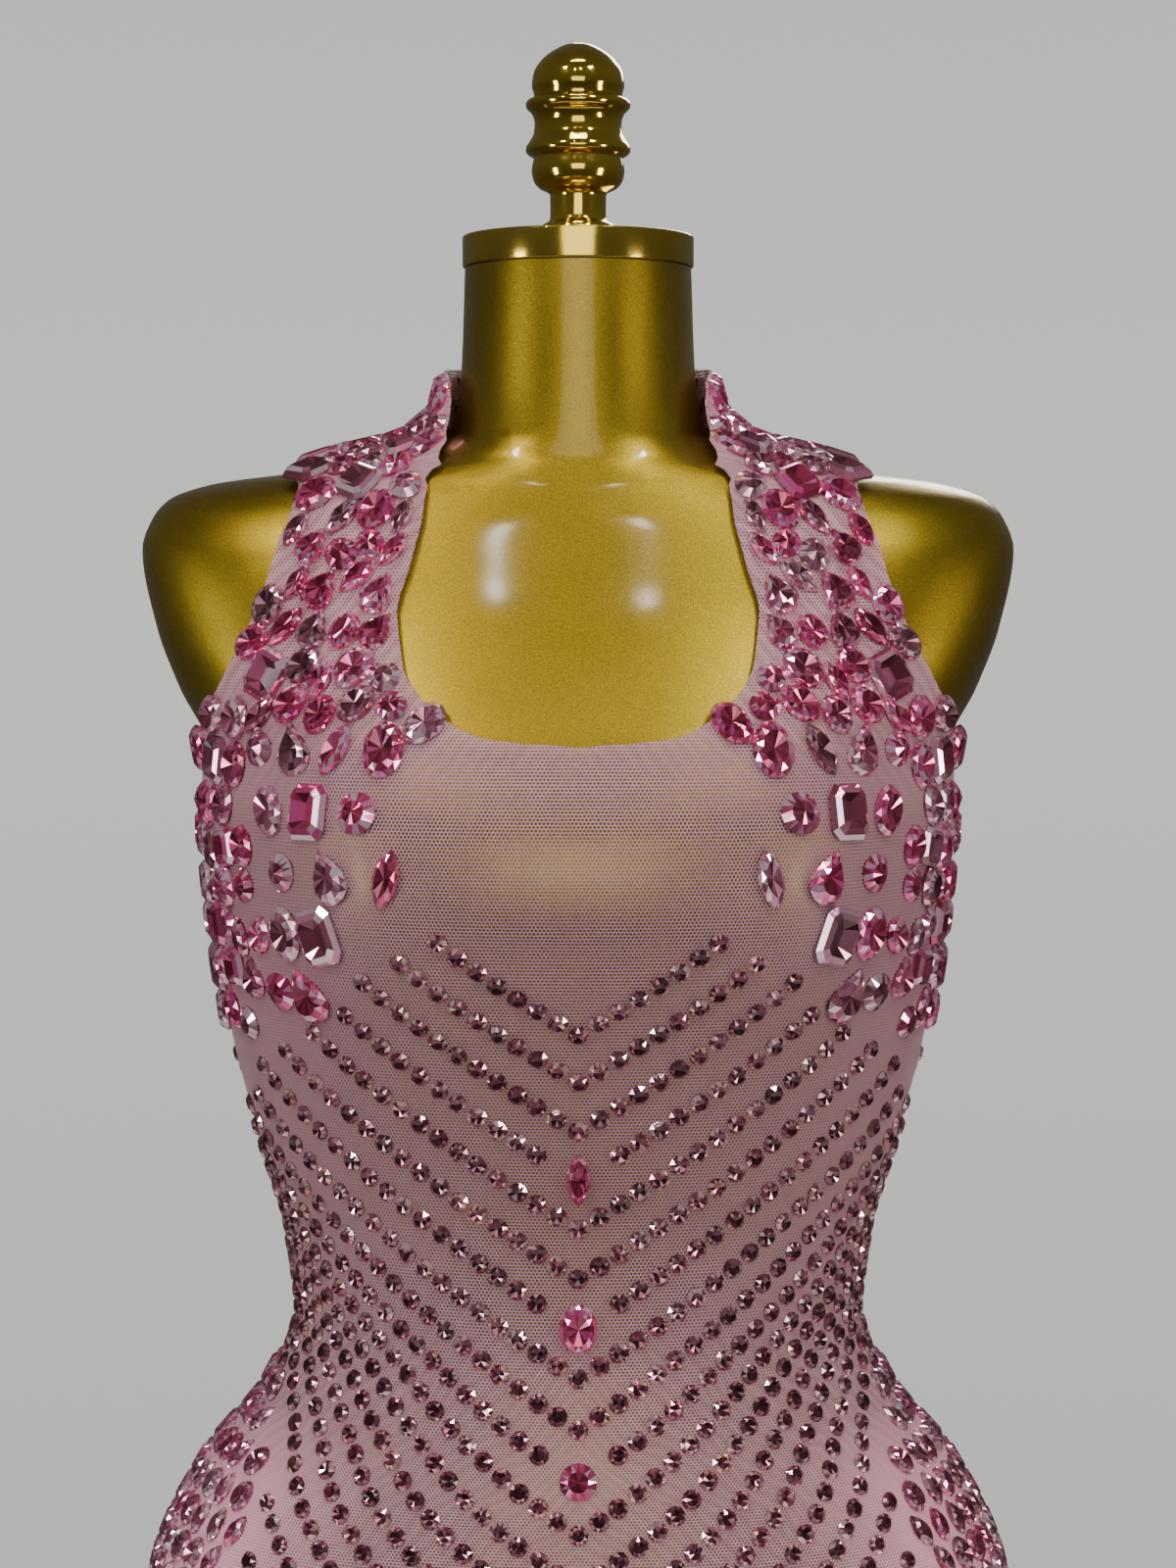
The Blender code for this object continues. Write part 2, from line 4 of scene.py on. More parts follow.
import bpy
import numpy as np
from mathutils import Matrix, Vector


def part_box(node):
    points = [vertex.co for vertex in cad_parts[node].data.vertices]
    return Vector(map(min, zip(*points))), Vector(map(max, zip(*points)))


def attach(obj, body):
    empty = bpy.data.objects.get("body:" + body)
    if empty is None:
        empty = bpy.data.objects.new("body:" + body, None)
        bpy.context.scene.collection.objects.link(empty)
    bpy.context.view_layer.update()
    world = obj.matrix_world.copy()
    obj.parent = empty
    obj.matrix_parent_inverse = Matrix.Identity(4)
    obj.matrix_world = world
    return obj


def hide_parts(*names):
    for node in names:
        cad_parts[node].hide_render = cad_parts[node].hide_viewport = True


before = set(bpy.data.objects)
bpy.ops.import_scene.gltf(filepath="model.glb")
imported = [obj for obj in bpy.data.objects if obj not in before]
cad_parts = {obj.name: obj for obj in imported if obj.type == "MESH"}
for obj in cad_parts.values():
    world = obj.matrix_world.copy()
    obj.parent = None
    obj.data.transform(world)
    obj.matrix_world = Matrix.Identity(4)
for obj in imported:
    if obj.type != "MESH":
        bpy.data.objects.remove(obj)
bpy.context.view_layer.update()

# Camera
# It looks straight at the front from chest height, tilted a little down, and
# frames the dress from the finial to the hips, as in the photograph.
WAIST_HEIGHT = 0.610
CAMERA_DISTANCE = 1.30
CAMERA_ABOVE_WAIST = 0.300
AIM_ABOVE_WAIST = 0.214
AIM_SIDE = 0.004
LENS_MM = 73.1

camera_data = bpy.data.cameras.new("photo_camera")
camera_data.lens = LENS_MM
camera_data.sensor_width = 36.0
camera = bpy.data.objects.new("photo_camera", camera_data)
bpy.context.scene.collection.objects.link(camera)
camera.location = (0.0, -CAMERA_DISTANCE, WAIST_HEIGHT + CAMERA_ABOVE_WAIST)
aim = Vector((AIM_SIDE, 0.0, WAIST_HEIGHT + AIM_ABOVE_WAIST))
camera.rotation_euler = (aim - camera.location).to_track_quat("-Z", "Y").to_euler()
bpy.context.scene.camera = camera


# Form torso
# A limbless moulded shell, smooth from its flat foot to the neck, with one gentle
# bust fullness. It is sprayed pearl gold and finished with a gloss coat.
FORM_SECTIONS = (
    # height from the waist, half width, front, back, squareness
    (-0.440, 0.144, 0.097, 0.103, 2.15),
    (-0.400, 0.148, 0.100, 0.106, 2.15),
    (-0.300, 0.160, 0.104, 0.113, 2.15),
    (-0.200, 0.174, 0.106, 0.121, 2.15),
    (-0.140, 0.178, 0.105, 0.119, 2.15),
    (-0.106, 0.172, 0.103, 0.110, 2.15),
    (-0.066, 0.153, 0.097, 0.091, 2.10),
    (-0.034, 0.127, 0.090, 0.077, 2.10),
    (0.000, 0.114, 0.086, 0.070, 2.10),
    (0.034, 0.118, 0.086, 0.071, 2.10),
    (0.074, 0.130, 0.088, 0.077, 2.10),
    (0.114, 0.140, 0.093, 0.085, 2.15),
    (0.154, 0.146, 0.098, 0.091, 2.20),
    (0.194, 0.1495, 0.098, 0.095, 2.25),
    (0.228, 0.150, 0.092, 0.096, 2.30),
    (0.254, 0.162, 0.082, 0.093, 2.35),
    (0.278, 0.171, 0.072, 0.088, 2.40),
    (0.310, 0.177, 0.061, 0.078, 2.30),
    (0.322, 0.173, 0.057, 0.073, 2.15),
    (0.330, 0.166, 0.054, 0.069, 2.00),
    (0.336, 0.149, 0.052, 0.065, 1.85),
    (0.341, 0.112, 0.051, 0.061, 1.80),
    (0.346, 0.076, 0.050, 0.057, 1.90),
    (0.356, 0.0525, 0.049, 0.051, 2.00),
    (0.380, 0.0475, 0.0475, 0.0475, 2.00),
    (0.423, 0.0458, 0.0458, 0.0458, 2.00),
)
BUST_HALF_SPACING = 0.076
BUST_HEIGHT = 0.178
BUST_FULLNESS = 0.018
BUST_SPREAD = 0.036
BUST_ABOVE = 0.046
BUST_BELOW = 0.036
FORM_COLUMNS = 144
FORM_RING_STEP = 0.004


def smooth_column(places, values, fine):
    """A curve through table rows with no overshoot, read at the fine places."""
    steps = np.diff(places)
    rates = np.diff(values) / steps
    slopes = np.zeros(len(places))
    slopes[0] = rates[0]
    slopes[-1] = rates[-1]
    for i in range(1, len(places) - 1):
        if rates[i - 1] * rates[i] > 0:
            first = 2 * steps[i] + steps[i - 1]
            second = steps[i] + 2 * steps[i - 1]
            slopes[i] = (first + second) / (first / rates[i - 1] + second / rates[i])
    i = np.clip(np.searchsorted(places, fine, side="right") - 1, 0, len(steps) - 1)
    t = (fine - places[i]) / steps[i]
    value = (2 * t**3 - 3 * t**2 + 1) * values[i] + (3 * t**2 - 2 * t**3) * values[i + 1]
    value += (t**3 - 2 * t**2 + t) * steps[i] * slopes[i]
    return value + (t**3 - t**2) * steps[i] * slopes[i + 1]


def make_skin(rows):
    """Fine columns of height, half width, front, back and squareness."""
    table = np.array(rows)
    fine = np.arange(table[0, 0], table[-1, 0] + 0.0001, 0.00025)
    return [fine] + [smooth_column(table[:, 0], table[:, k], fine) for k in range(1, 5)]


def skin_points(skin, turn, height):
    """Points on a skin: turn is the angle round from centre front, in radians."""
    turn, height = np.broadcast_arrays(turn, height)
    half_width, front, back, power = (np.interp(height, skin[0], skin[k]) for k in range(1, 5))
    side = np.sin(turn)
    ahead = np.cos(turn)
    scale = (np.abs(side) ** power + np.abs(ahead) ** power) ** (1 / power)
    x = half_width * side / scale
    y = -np.where(ahead > 0, front, back) * ahead / scale
    beyond = np.maximum(np.abs(x) - BUST_HALF_SPACING, 0.0) / BUST_SPREAD
    rise = height - BUST_HEIGHT
    rise = rise / np.where(rise > 0, BUST_ABOVE, BUST_BELOW)
    swell = BUST_FULLNESS * np.exp(-(beyond**2) / 2 - rise**2 / 2)
    y = y - swell * np.maximum(ahead, 0.0) / scale
    return np.stack([x, y, height + WAIST_HEIGHT], axis=-1)


def skin_normals(skin, turn, height):
    middle = np.clip(height, skin[0][0] + 0.001, skin[0][-1] - 0.001)
    around = skin_points(skin, turn + 0.006, middle) - skin_points(skin, turn - 0.006, middle)
    upward = skin_points(skin, turn, middle + 0.0008) - skin_points(skin, turn, middle - 0.0008)
    normal = np.cross(around, upward)
    return normal / np.linalg.norm(normal, axis=-1, keepdims=True)


def add_piece(name, points, faces, material, body="root"):
    mesh = bpy.data.meshes.new(name)
    mesh.from_pydata(np.asarray(points).reshape(-1, 3).tolist(), [], faces)
    mesh.materials.append(material)
    mesh.shade_smooth()
    piece = bpy.data.objects.new(name, mesh)
    bpy.context.scene.collection.objects.link(piece)
    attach(piece, body)
    return piece


def grid_faces(rows, columns, wrap=False):
    """Quads over a grid of rows and columns, counted along the rows."""
    faces = []
    last = columns if wrap else columns - 1
    for i in range(rows - 1):
        for k in range(last):
            n = (k + 1) % columns
            low = i * columns
            high = low + columns
            faces.append((low + k, low + n, high + n, high + k))
    return faces


def new_material(name):
    """A material with its Principled shader and its node tree at hand."""
    material = bpy.data.materials.new(name)
    material.use_nodes = True
    return material, material.node_tree, material.node_tree.nodes["Principled BSDF"]


def add_node(tree, kind, **values):
    node = tree.nodes.new(kind)
    for key, value in values.items():
        setattr(node, key, value)
    return node


def new_group(name, inputs, outputs):
    """A shader node group with named sockets: each is a name, a type and a value."""
    group = bpy.data.node_groups.new(name, "ShaderNodeTree")
    for label, kind, value in inputs:
        socket = group.interface.new_socket(label, in_out="INPUT", socket_type=kind)
        if value is not None:
            socket.default_value = value
    for label, kind in outputs:
        group.interface.new_socket(label, in_out="OUTPUT", socket_type=kind)
    return group, group.nodes.new("NodeGroupInput"), group.nodes.new("NodeGroupOutput")


def place_group(tree, group, **values):
    node = tree.nodes.new("ShaderNodeGroup")
    node.node_tree = group
    for key, value in values.items():
        node.inputs[key.replace("_", " ")].default_value = value
    return node


def math_node(tree, operation, first, second=None, third=None):
    """A Math node fed by sockets or plain numbers; returns its output."""
    node = tree.nodes.new("ShaderNodeMath")
    node.operation = operation
    for k, value in enumerate((first, second, third)):
        if value is None:
            continue
        if isinstance(value, (int, float)):
            node.inputs[k].default_value = value
        else:
            tree.links.new(value, node.inputs[k])
    return node.outputs[0]


def colour_ramp(tree, factor, stops):
    node = tree.nodes.new("ShaderNodeValToRGB")
    ramp = node.color_ramp
    while len(ramp.elements) < len(stops):
        ramp.elements.new(0.5)
    for element, (place, colour) in zip(ramp.elements, stops):
        element.position = place
        element.color = (*colour, 1.0)
    tree.links.new(factor, node.inputs["Fac"])
    return node.outputs["Color"]


def make_gold_grain():
    """Fine uneven grain that sprayed and plated gold share: tone, gloss and height."""
    group, start, end = new_group(
        "gold grain",
        [("Scale", "NodeSocketFloat", 900.0), ("Cloud", "NodeSocketFloat", 14.0)],
        [("Tone", "NodeSocketFloat"), ("Cloudiness", "NodeSocketFloat"), ("Height", "NodeSocketFloat")],
    )
    place = add_node(group, "ShaderNodeTexCoord")
    fine = add_node(group, "ShaderNodeTexNoise", noise_dimensions="3D")
    fine.inputs["Detail"].default_value = 3.0
    fine.inputs["Roughness"].default_value = 0.6
    cloud = add_node(group, "ShaderNodeTexNoise")
    cloud.inputs["Detail"].default_value = 4.0
    group.links.new(place.outputs["Object"], fine.inputs["Vector"])
    group.links.new(place.outputs["Object"], cloud.inputs["Vector"])
    group.links.new(start.outputs["Scale"], fine.inputs["Scale"])
    group.links.new(start.outputs["Cloud"], cloud.inputs["Scale"])
    group.links.new(fine.outputs["Fac"], end.inputs["Tone"])
    group.links.new(cloud.outputs["Fac"], end.inputs["Cloudiness"])
    group.links.new(fine.outputs["Fac"], end.inputs["Height"])
    return group


GOLD_GRAIN = make_gold_grain()


def make_pearl_gold_paint():
    material, tree, shader = new_material("pearl_gold_paint")
    grain = place_group(tree, GOLD_GRAIN, Scale=1500.0, Cloud=9.0)
    mixed = math_node(tree, "MULTIPLY_ADD", grain.outputs["Tone"], 0.8, -0.05)
    mixed = math_node(tree, "MULTIPLY_ADD", grain.outputs["Cloudiness"], 0.3, mixed)
    stops = (
        (0.20, (0.15, 0.096, 0.006)),
        (0.50, (0.31, 0.205, 0.013)),
        (0.80, (0.50, 0.345, 0.030)),
    )
    tree.links.new(colour_ramp(tree, mixed, stops), shader.inputs["Base Color"])
    shader.inputs["Metallic"].default_value = 0.95
    rough = math_node(tree, "MULTIPLY_ADD", grain.outputs["Cloudiness"], 0.14, 0.25)
    tree.links.new(rough, shader.inputs["Roughness"])
    shader.inputs["Coat Weight"].default_value = 0.4
    shader.inputs["Coat Roughness"].default_value = 0.10
    bump = add_node(tree, "ShaderNodeBump")
    bump.inputs["Strength"].default_value = 0.22
    bump.inputs["Distance"].default_value = 0.0006
    tree.links.new(grain.outputs["Height"], bump.inputs["Height"])
    tree.links.new(bump.outputs["Normal"], shader.inputs["Normal"])
    return material


FORM_SKIN = make_skin(FORM_SECTIONS)
form_heights = np.arange(FORM_SECTIONS[0][0], FORM_SECTIONS[-1][0], FORM_RING_STEP)
shoulder_heights = np.arange(0.318, 0.360, 0.001)
form_heights = np.unique(np.round(np.concatenate([form_heights, shoulder_heights, [0.423]]), 5))
form_turns = np.arange(FORM_COLUMNS) * math.tau / FORM_COLUMNS
form_grid = skin_points(FORM_SKIN, form_turns[None, :], form_heights[:, None])
form_faces = grid_faces(len(form_heights), FORM_COLUMNS, wrap=True)
form_faces.append(tuple(reversed(range(FORM_COLUMNS))))
form_faces.append(tuple((len(form_heights) - 1) * FORM_COLUMNS + k for k in range(FORM_COLUMNS)))
form = add_piece("form_torso_shell", form_grid, form_faces, make_pearl_gold_paint())
form.data.set_sharp_from_angle(angle=math.radians(50))
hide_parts("form_torso")


# Neck cap
# A polished gold-plated disc that closes the top of the neck. It is spun from
# sheet and screwed down by the finial.
CAP_RADIUS = 0.0468
CAP_EDGE = 0.0008


def make_polished_gold(name, tint, roughness):
    material, tree, shader = new_material(name)
    grain = place_group(tree, GOLD_GRAIN, Scale=260.0, Cloud=30.0)
    dark = tuple(0.82 * value for value in tint)
    tree.links.new(
        colour_ramp(tree, grain.outputs["Cloudiness"], ((0.30, dark), (0.65, tint))),
        shader.inputs["Base Color"],
    )
    shader.inputs["Metallic"].default_value = 1.0
    gloss = math_node(tree, "MULTIPLY_ADD", grain.outputs["Cloudiness"], 0.08, roughness)
    tree.links.new(gloss, shader.inputs["Roughness"])
    bump = add_node(tree, "ShaderNodeBump")
    bump.inputs["Strength"].default_value = 0.06
    bump.inputs["Distance"].default_value = 0.0004
    tree.links.new(grain.outputs["Height"], bump.inputs["Height"])
    tree.links.new(bump.outputs["Normal"], shader.inputs["Normal"])
    return material


def turned_piece(name, outline, steps, material):
    """A piece turned about the upright axis from an outline of radius and height."""
    points = []
    for radius, height in outline:
        for k in range(steps):
            angle = math.tau * k / steps
            points.append((radius * math.cos(angle), radius * math.sin(angle), height))
    faces = []
    for i in range(len(outline) - 1):
        for k in range(steps):
            n = (k + 1) % steps
            high = i * steps
            low = high + steps
            faces.append((low + k, low + n, high + n, high + k))
    faces.append(tuple(range(steps)))
    faces.append(tuple((len(outline) - 1) * steps + k for k in reversed(range(steps))))
    piece = add_piece(name, points, faces, material)
    piece.data.set_sharp_from_angle(angle=math.radians(40))
    return piece


def rounded_disc(top, bottom, radius, edge, steps=6):
    outline = []
    for k in range(steps + 1):
        angle = math.radians(90 - 90 * k / steps)
        outline.append((radius - edge + edge * math.cos(angle), top - edge + edge * math.sin(angle)))
    for k in range(steps + 1):
        angle = math.radians(-90 * k / steps)
        outline.append((radius - edge + edge * math.cos(angle), bottom + edge + edge * math.sin(angle)))
    return outline


cap_low, cap_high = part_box("neck_cap")
CAP_GOLD = make_polished_gold("cap_plated_gold", (0.70, 0.49, 0.08), 0.09)
cap_outline = rounded_disc(cap_high[2], cap_low[2], CAP_RADIUS, CAP_EDGE)
cap = turned_piece("neck_cap_disc", cap_outline, 128, CAP_GOLD)
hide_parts("neck_cap")


# Finial
# A solid turned knob: a domed head, two flared rings with a waist between them,
# a bowl, and a short stem on a round foot. It is polished and gold plated.
FINIAL_OUTLINE = (
    # height above the foot, radius
    (0.0770, 0.0008),
    (0.0765, 0.0045),
    (0.0740, 0.0100),
    (0.0700, 0.0150),
    (0.0650, 0.0180),
    (0.0600, 0.0187),
    (0.0570, 0.0180),
    (0.0555, 0.0178),
    (0.0540, 0.0205),
    (0.0525, 0.0212),
    (0.0510, 0.0208),
    (0.0490, 0.0188),
    (0.0450, 0.0176),
    (0.0410, 0.0180),
    (0.0375, 0.0198),
    (0.0355, 0.0210),
    (0.0340, 0.0212),
    (0.0325, 0.0202),
    (0.0310, 0.0180),
    (0.0290, 0.0184),
    (0.0260, 0.0188),
    (0.0220, 0.0180),
    (0.0190, 0.0155),
    (0.0175, 0.0125),
    (0.0165, 0.0114),
    (0.0080, 0.0113),
    (0.0060, 0.0118),
    (0.0045, 0.0142),
    (0.0030, 0.0148),
    (0.0000, 0.0150),
)


def rounded_outline(rows, steps=4):
    """The outline with smooth curves between its rows, from top to bottom."""
    rows = np.array(rows)
    lengths = np.hypot(np.diff(rows[:, 0]), np.diff(rows[:, 1]))
    places = np.concatenate([[0.0], np.cumsum(lengths)])
    fine = np.linspace(0.0, places[-1], (len(rows) - 1) * steps + 1)
    heights = smooth_column(places, rows[:, 0], fine)
    radii = smooth_column(places, rows[:, 1], fine)
    return list(zip(radii, heights))


finial_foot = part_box("finial")[0][2]
finial_rows = [(radius, finial_foot + rise) for radius, rise in rounded_outline(FINIAL_OUTLINE)]
finial = turned_piece(
    "finial_knob", finial_rows, 96, make_polished_gold("finial_plated_gold", (0.72, 0.51, 0.07), 0.06)
)
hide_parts("finial")


# Stand
# A round weighted plate with a short tube screwed into it, under the form's foot.
# Both are steel with a satin gold finish.
pole_low, pole_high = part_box("stand_pole")
pole_radius = pole_high[0]
pole = turned_piece(
    "stand_pole_tube",
    rounded_disc(pole_high[2], pole_low[2], pole_radius, 0.0008, 3),
    64,
    make_polished_gold("pole_satin_gold", (0.66, 0.47, 0.19), 0.26),
)
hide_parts("stand_pole")
plate_low, plate_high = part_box("stand_base")
plate = turned_piece(
    "stand_base_plate",
    rounded_disc(plate_high[2], plate_low[2], plate_high[0], 0.004),
    160,
    make_polished_gold("plate_satin_gold", (0.62, 0.44, 0.18), 0.32),
)
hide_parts("stand_base")


# Front of the dress
# One piece of dusty pink power net, cut on the fold with both halter straps in
# one with it. The edges are cut raw, and the net is stretched smooth on the form.
YOKE_SECTIONS = (
    (0.3455, 0.0965, 0.0515, 0.0610, 1.80),
    (0.3480, 0.0850, 0.0516, 0.0605, 1.83),
    (0.3510, 0.0735, 0.0518, 0.0600, 1.85),
    (0.3560, 0.0645, 0.0520, 0.0590, 1.88),
    (0.3600, 0.0598, 0.0520, 0.0580, 1.90),
    (0.3640, 0.0566, 0.0520, 0.0570, 1.92),
    (0.3700, 0.0535, 0.0520, 0.0555, 1.95),
    (0.3820, 0.0513, 0.0513, 0.0535, 2.00),
    (0.4000, 0.0515, 0.0505, 0.0520, 2.00),
)
STRAP_STATIONS = (
    # neck edge turn, neck edge height, arm edge turn, arm edge height
    (0.0, 0.233, 90.0, 0.226),
    (13.0, 0.236, 70.0, 0.238),
    (20.0, 0.247, 58.0, 0.251),
    (23.0, 0.264, 49.0, 0.267),
    (23.0, 0.283, 43.0, 0.285),
    (21.0, 0.302, 40.0, 0.302),
    (20.0, 0.318, 39.0, 0.317),
    (21.0, 0.331, 40.0, 0.326),
    (27.0, 0.339, 42.0, 0.331),
    (38.0, 0.347, 48.0, 0.335),
    (52.0, 0.355, 62.0, 0.339),
    (65.0, 0.369, 90.0, 0.342),
    (75.0, 0.379, 112.0, 0.344),
    (120.0, 0.384, 143.0, 0.346),
    (180.0, 0.382, 180.0, 0.347),
)
HEM = -0.420
RINGS_END = 0.200
NET_OUT = 0.0019
STRAP_NET_OUT = 0.0031
NET_THICKNESS = 0.0006
SEAM_GAP = 0.0003
NET_COLUMNS = 72

CLOTH_SKIN = make_skin(tuple(row for row in FORM_SECTIONS if row[0] < 0.342) + YOKE_SECTIONS)
climb_steps = np.hypot(np.diff(CLOTH_SKIN[0]), np.diff(CLOTH_SKIN[1]))
CLIMB = np.concatenate([[0.0], np.cumsum(climb_steps)])


def climb_of(height):
    return np.interp(height, CLOTH_SKIN[0], CLIMB)


def height_of(climb):
    return np.interp(climb, CLIMB, CLOTH_SKIN[0])


CREASES = (
    # ends as turn in degrees and height, half breadth and depth in metres
    ((88, 0.215), (52, 0.172), 0.0055, 0.0006),
    ((89, 0.190), (60, 0.140), 0.0060, 0.0005),
    ((72, 0.236), (46, 0.262), 0.0050, 0.0005),
    ((89, 0.045), (60, 0.020), 0.0070, 0.0006),
    ((89, 0.008), (64, -0.014), 0.0065, 0.0005),
    ((118, 0.205), (142, 0.150), 0.0060, 0.0006),
    ((94, 0.150), (126, 0.100), 0.0070, 0.0005),
    ((92, 0.030), (124, 0.008), 0.0070, 0.0006),
    ((96, -0.300), (140, -0.330), 0.0090, 0.0006),
    ((84, -0.290), (40, -0.325), 0.0090, 0.0006),
)


def crease_depth(turn, height):
    """Soft troughs where the net is drawn tight between two places."""
    depth = 0.0
    for (turn_0, height_0), (turn_1, height_1), breadth, most in CREASES:
        start = np.array([math.radians(turn_0) * 0.12, height_0])
        line = np.array([math.radians(turn_1) * 0.12, height_1]) - start
        length = np.linalg.norm(line)
        line = line / length
        ahead = (np.abs(turn) * 0.12 - start[0]) * line[0] + (height - start[1]) * line[1]
        aside = (np.abs(turn) * 0.12 - start[0]) * line[1] - (height - start[1]) * line[0]
        along = np.clip(ahead / length, 0.0, 1.0)
        beyond = ahead - along * length
        fade = np.exp(-((aside / breadth) ** 2 + (beyond / breadth) ** 2) / 2)
        ripple = np.cos(aside / breadth * 1.6)
        depth = depth + most * fade * ripple * (0.45 + 0.55 * np.sin(math.pi * along))
    return depth


def net_out(turn, height):
    share = np.clip((height - 0.185) / 0.035, 0.0, 1.0)
    share = share * share * (3 - 2 * share)
    return NET_OUT + (STRAP_NET_OUT - NET_OUT) * share - crease_depth(turn, height)


def cloth_points(turn, height, out):
    """Points that stand off the cloth's skin along its normals."""
    normal = skin_normals(CLOTH_SKIN, turn, height)
    return skin_points(CLOTH_SKIN, turn, height) + normal * np.asarray(out)[..., None]


def side_turn(height, sign):
    return math.pi / 2 + sign * SEAM_GAP / 2 / np.interp(height, CLOTH_SKIN[0], CLOTH_SKIN[1])


def strap_lines():
    """Length along the strap, and the four columns of its stations read finely."""
    rows = np.array(STRAP_STATIONS)
    neck = skin_points(CLOTH_SKIN, np.radians(rows[:, 0]), rows[:, 1])
    arm = skin_points(CLOTH_SKIN, np.radians(rows[:, 2]), rows[:, 3])
    steps = np.linalg.norm(np.diff(neck, axis=0), axis=1) + np.linalg.norm(np.diff(arm, axis=0), axis=1)
    places = np.concatenate([[0.0], np.cumsum(steps / 2)])
    fine = np.linspace(0.0, places[-1], 600)
    return places[-1], fine, [smooth_column(places, rows[:, k], fine) for k in range(4)]


STRAP_LENGTH, STRAP_FINE, STRAP_COLUMNS = strap_lines()


def strap_place(along, across):
    """Turn and height at a place along the strap and across from neck to arm."""
    ends = [np.interp(along, STRAP_FINE, column) for column in STRAP_COLUMNS]
    turn = np.radians(ends[0] + (ends[2] - ends[0]) * across)
    climb = climb_of(ends[1]) + (climb_of(ends[3]) - climb_of(ends[1])) * across
    return turn, height_of(climb)


def strap_width(along):
    ends = [skin_points(CLOTH_SKIN, *strap_place(along, across)) for across in (0.0, 1.0)]
    return float(np.linalg.norm(ends[1] - ends[0]))


def net_uvs(turns, heights):
    """Metres round from the centre front and up the cloth, at each grid place."""
    steps = 48
    around = np.zeros(turns.shape)
    before = skin_points(CLOTH_SKIN, 0.0 * turns, heights)
    for k in range(1, steps + 1):
        after = skin_points(CLOTH_SKIN, turns * k / steps, heights)
        around = around + np.linalg.norm(after - before, axis=-1)
        before = after
    return np.stack([around, climb_of(heights)], axis=-1)


def give_uvs(piece, uvs):
    layer = piece.data.uv_layers.new(name="cloth_metres")
    flat = uvs.reshape(-1, 2)
    corners = np.zeros(len(piece.data.loops), dtype=np.int32)
    piece.data.loops.foreach_get("vertex_index", corners)
    layer.data.foreach_set("uv", flat[corners].astype(np.float32).ravel())


def give_values(piece, name, values):
    layer = piece.data.attributes.new(name, "FLOAT", "POINT")
    layer.data.foreach_set("value", np.asarray(values, dtype=np.float32).ravel())


def finish_net(piece, thickness=NET_THICKNESS):
    mirror = piece.modifiers.new("other half", "MIRROR")
    mirror.use_axis[0] = True
    mirror.use_mirror_merge = True
    mirror.merge_threshold = 0.00005
    wall = piece.modifiers.new("net wall", "SOLIDIFY")
    wall.thickness = thickness
    wall.offset = -1.0


def make_hex_net():
    """A knitted net of round holes in a staggered pattern: thread, hole and height."""
    group, start, end = new_group(
        "power net",
        [
            ("Vector", "NodeSocketVector", None),
            ("Pitch", "NodeSocketFloat", 0.0015),
            ("Hole", "NodeSocketFloat", 0.32),
        ],
        [("Thread", "NodeSocketFloat"), ("Height", "NodeSocketFloat"), ("Yarn", "NodeSocketFloat")],
    )
    links = group.links
    scaled = add_node(group, "ShaderNodeVectorMath", operation="SCALE")
    links.new(start.outputs["Vector"], scaled.inputs[0])
    links.new(math_node(group, "DIVIDE", 1.0, start.outputs["Pitch"]), scaled.inputs["Scale"])
    cell = (1.0, math.sqrt(3.0), 1.0)
    half = (0.5, math.sqrt(3.0) / 2, 0.5)
    lengths = []
    for shift in ((0.0, 0.0, 0.0), half):
        moved = add_node(group, "ShaderNodeVectorMath", operation="ADD")
        moved.inputs[1].default_value = tuple(200.0 * c + s for c, s in zip(cell, shift))
        links.new(scaled.outputs[0], moved.inputs[0])
        wrapped = add_node(group, "ShaderNodeVectorMath", operation="MODULO")
        wrapped.inputs[1].default_value = cell
        links.new(moved.outputs[0], wrapped.inputs[0])
        centred = add_node(group, "ShaderNodeVectorMath", operation="SUBTRACT")
        centred.inputs[1].default_value = half
        links.new(wrapped.outputs[0], centred.inputs[0])
        flat = add_node(group, "ShaderNodeVectorMath", operation="MULTIPLY")
        flat.inputs[1].default_value = (1.0, 1.0, 0.0)
        links.new(centred.outputs[0], flat.inputs[0])
        length = add_node(group, "ShaderNodeVectorMath", operation="LENGTH")
        links.new(flat.outputs[0], length.inputs[0])
        lengths.append(length.outputs["Value"])
    near = math_node(group, "MINIMUM", lengths[0], lengths[1])
    edge = add_node(group, "ShaderNodeMapRange", interpolation_type="SMOOTHSTEP")
    links.new(near, edge.inputs["Value"])
    links.new(math_node(group, "SUBTRACT", start.outputs["Hole"], 0.035), edge.inputs["From Min"])
    links.new(math_node(group, "ADD", start.outputs["Hole"], 0.035), edge.inputs["From Max"])
    links.new(edge.outputs["Result"], end.inputs["Thread"])
    rise = add_node(group, "ShaderNodeMapRange", interpolation_type="SMOOTHSTEP")
    links.new(near, rise.inputs["Value"])
    rise.inputs["From Min"].default_value = 0.20
    rise.inputs["From Max"].default_value = 0.55
    links.new(rise.outputs["Result"], end.inputs["Height"])
    yarn = add_node(group, "ShaderNodeTexNoise")
    yarn.inputs["Scale"].default_value = 1800.0
    links.new(start.outputs["Vector"], yarn.inputs["Vector"])
    links.new(yarn.outputs["Fac"], end.inputs["Yarn"])
    return group


HEX_NET = make_hex_net()


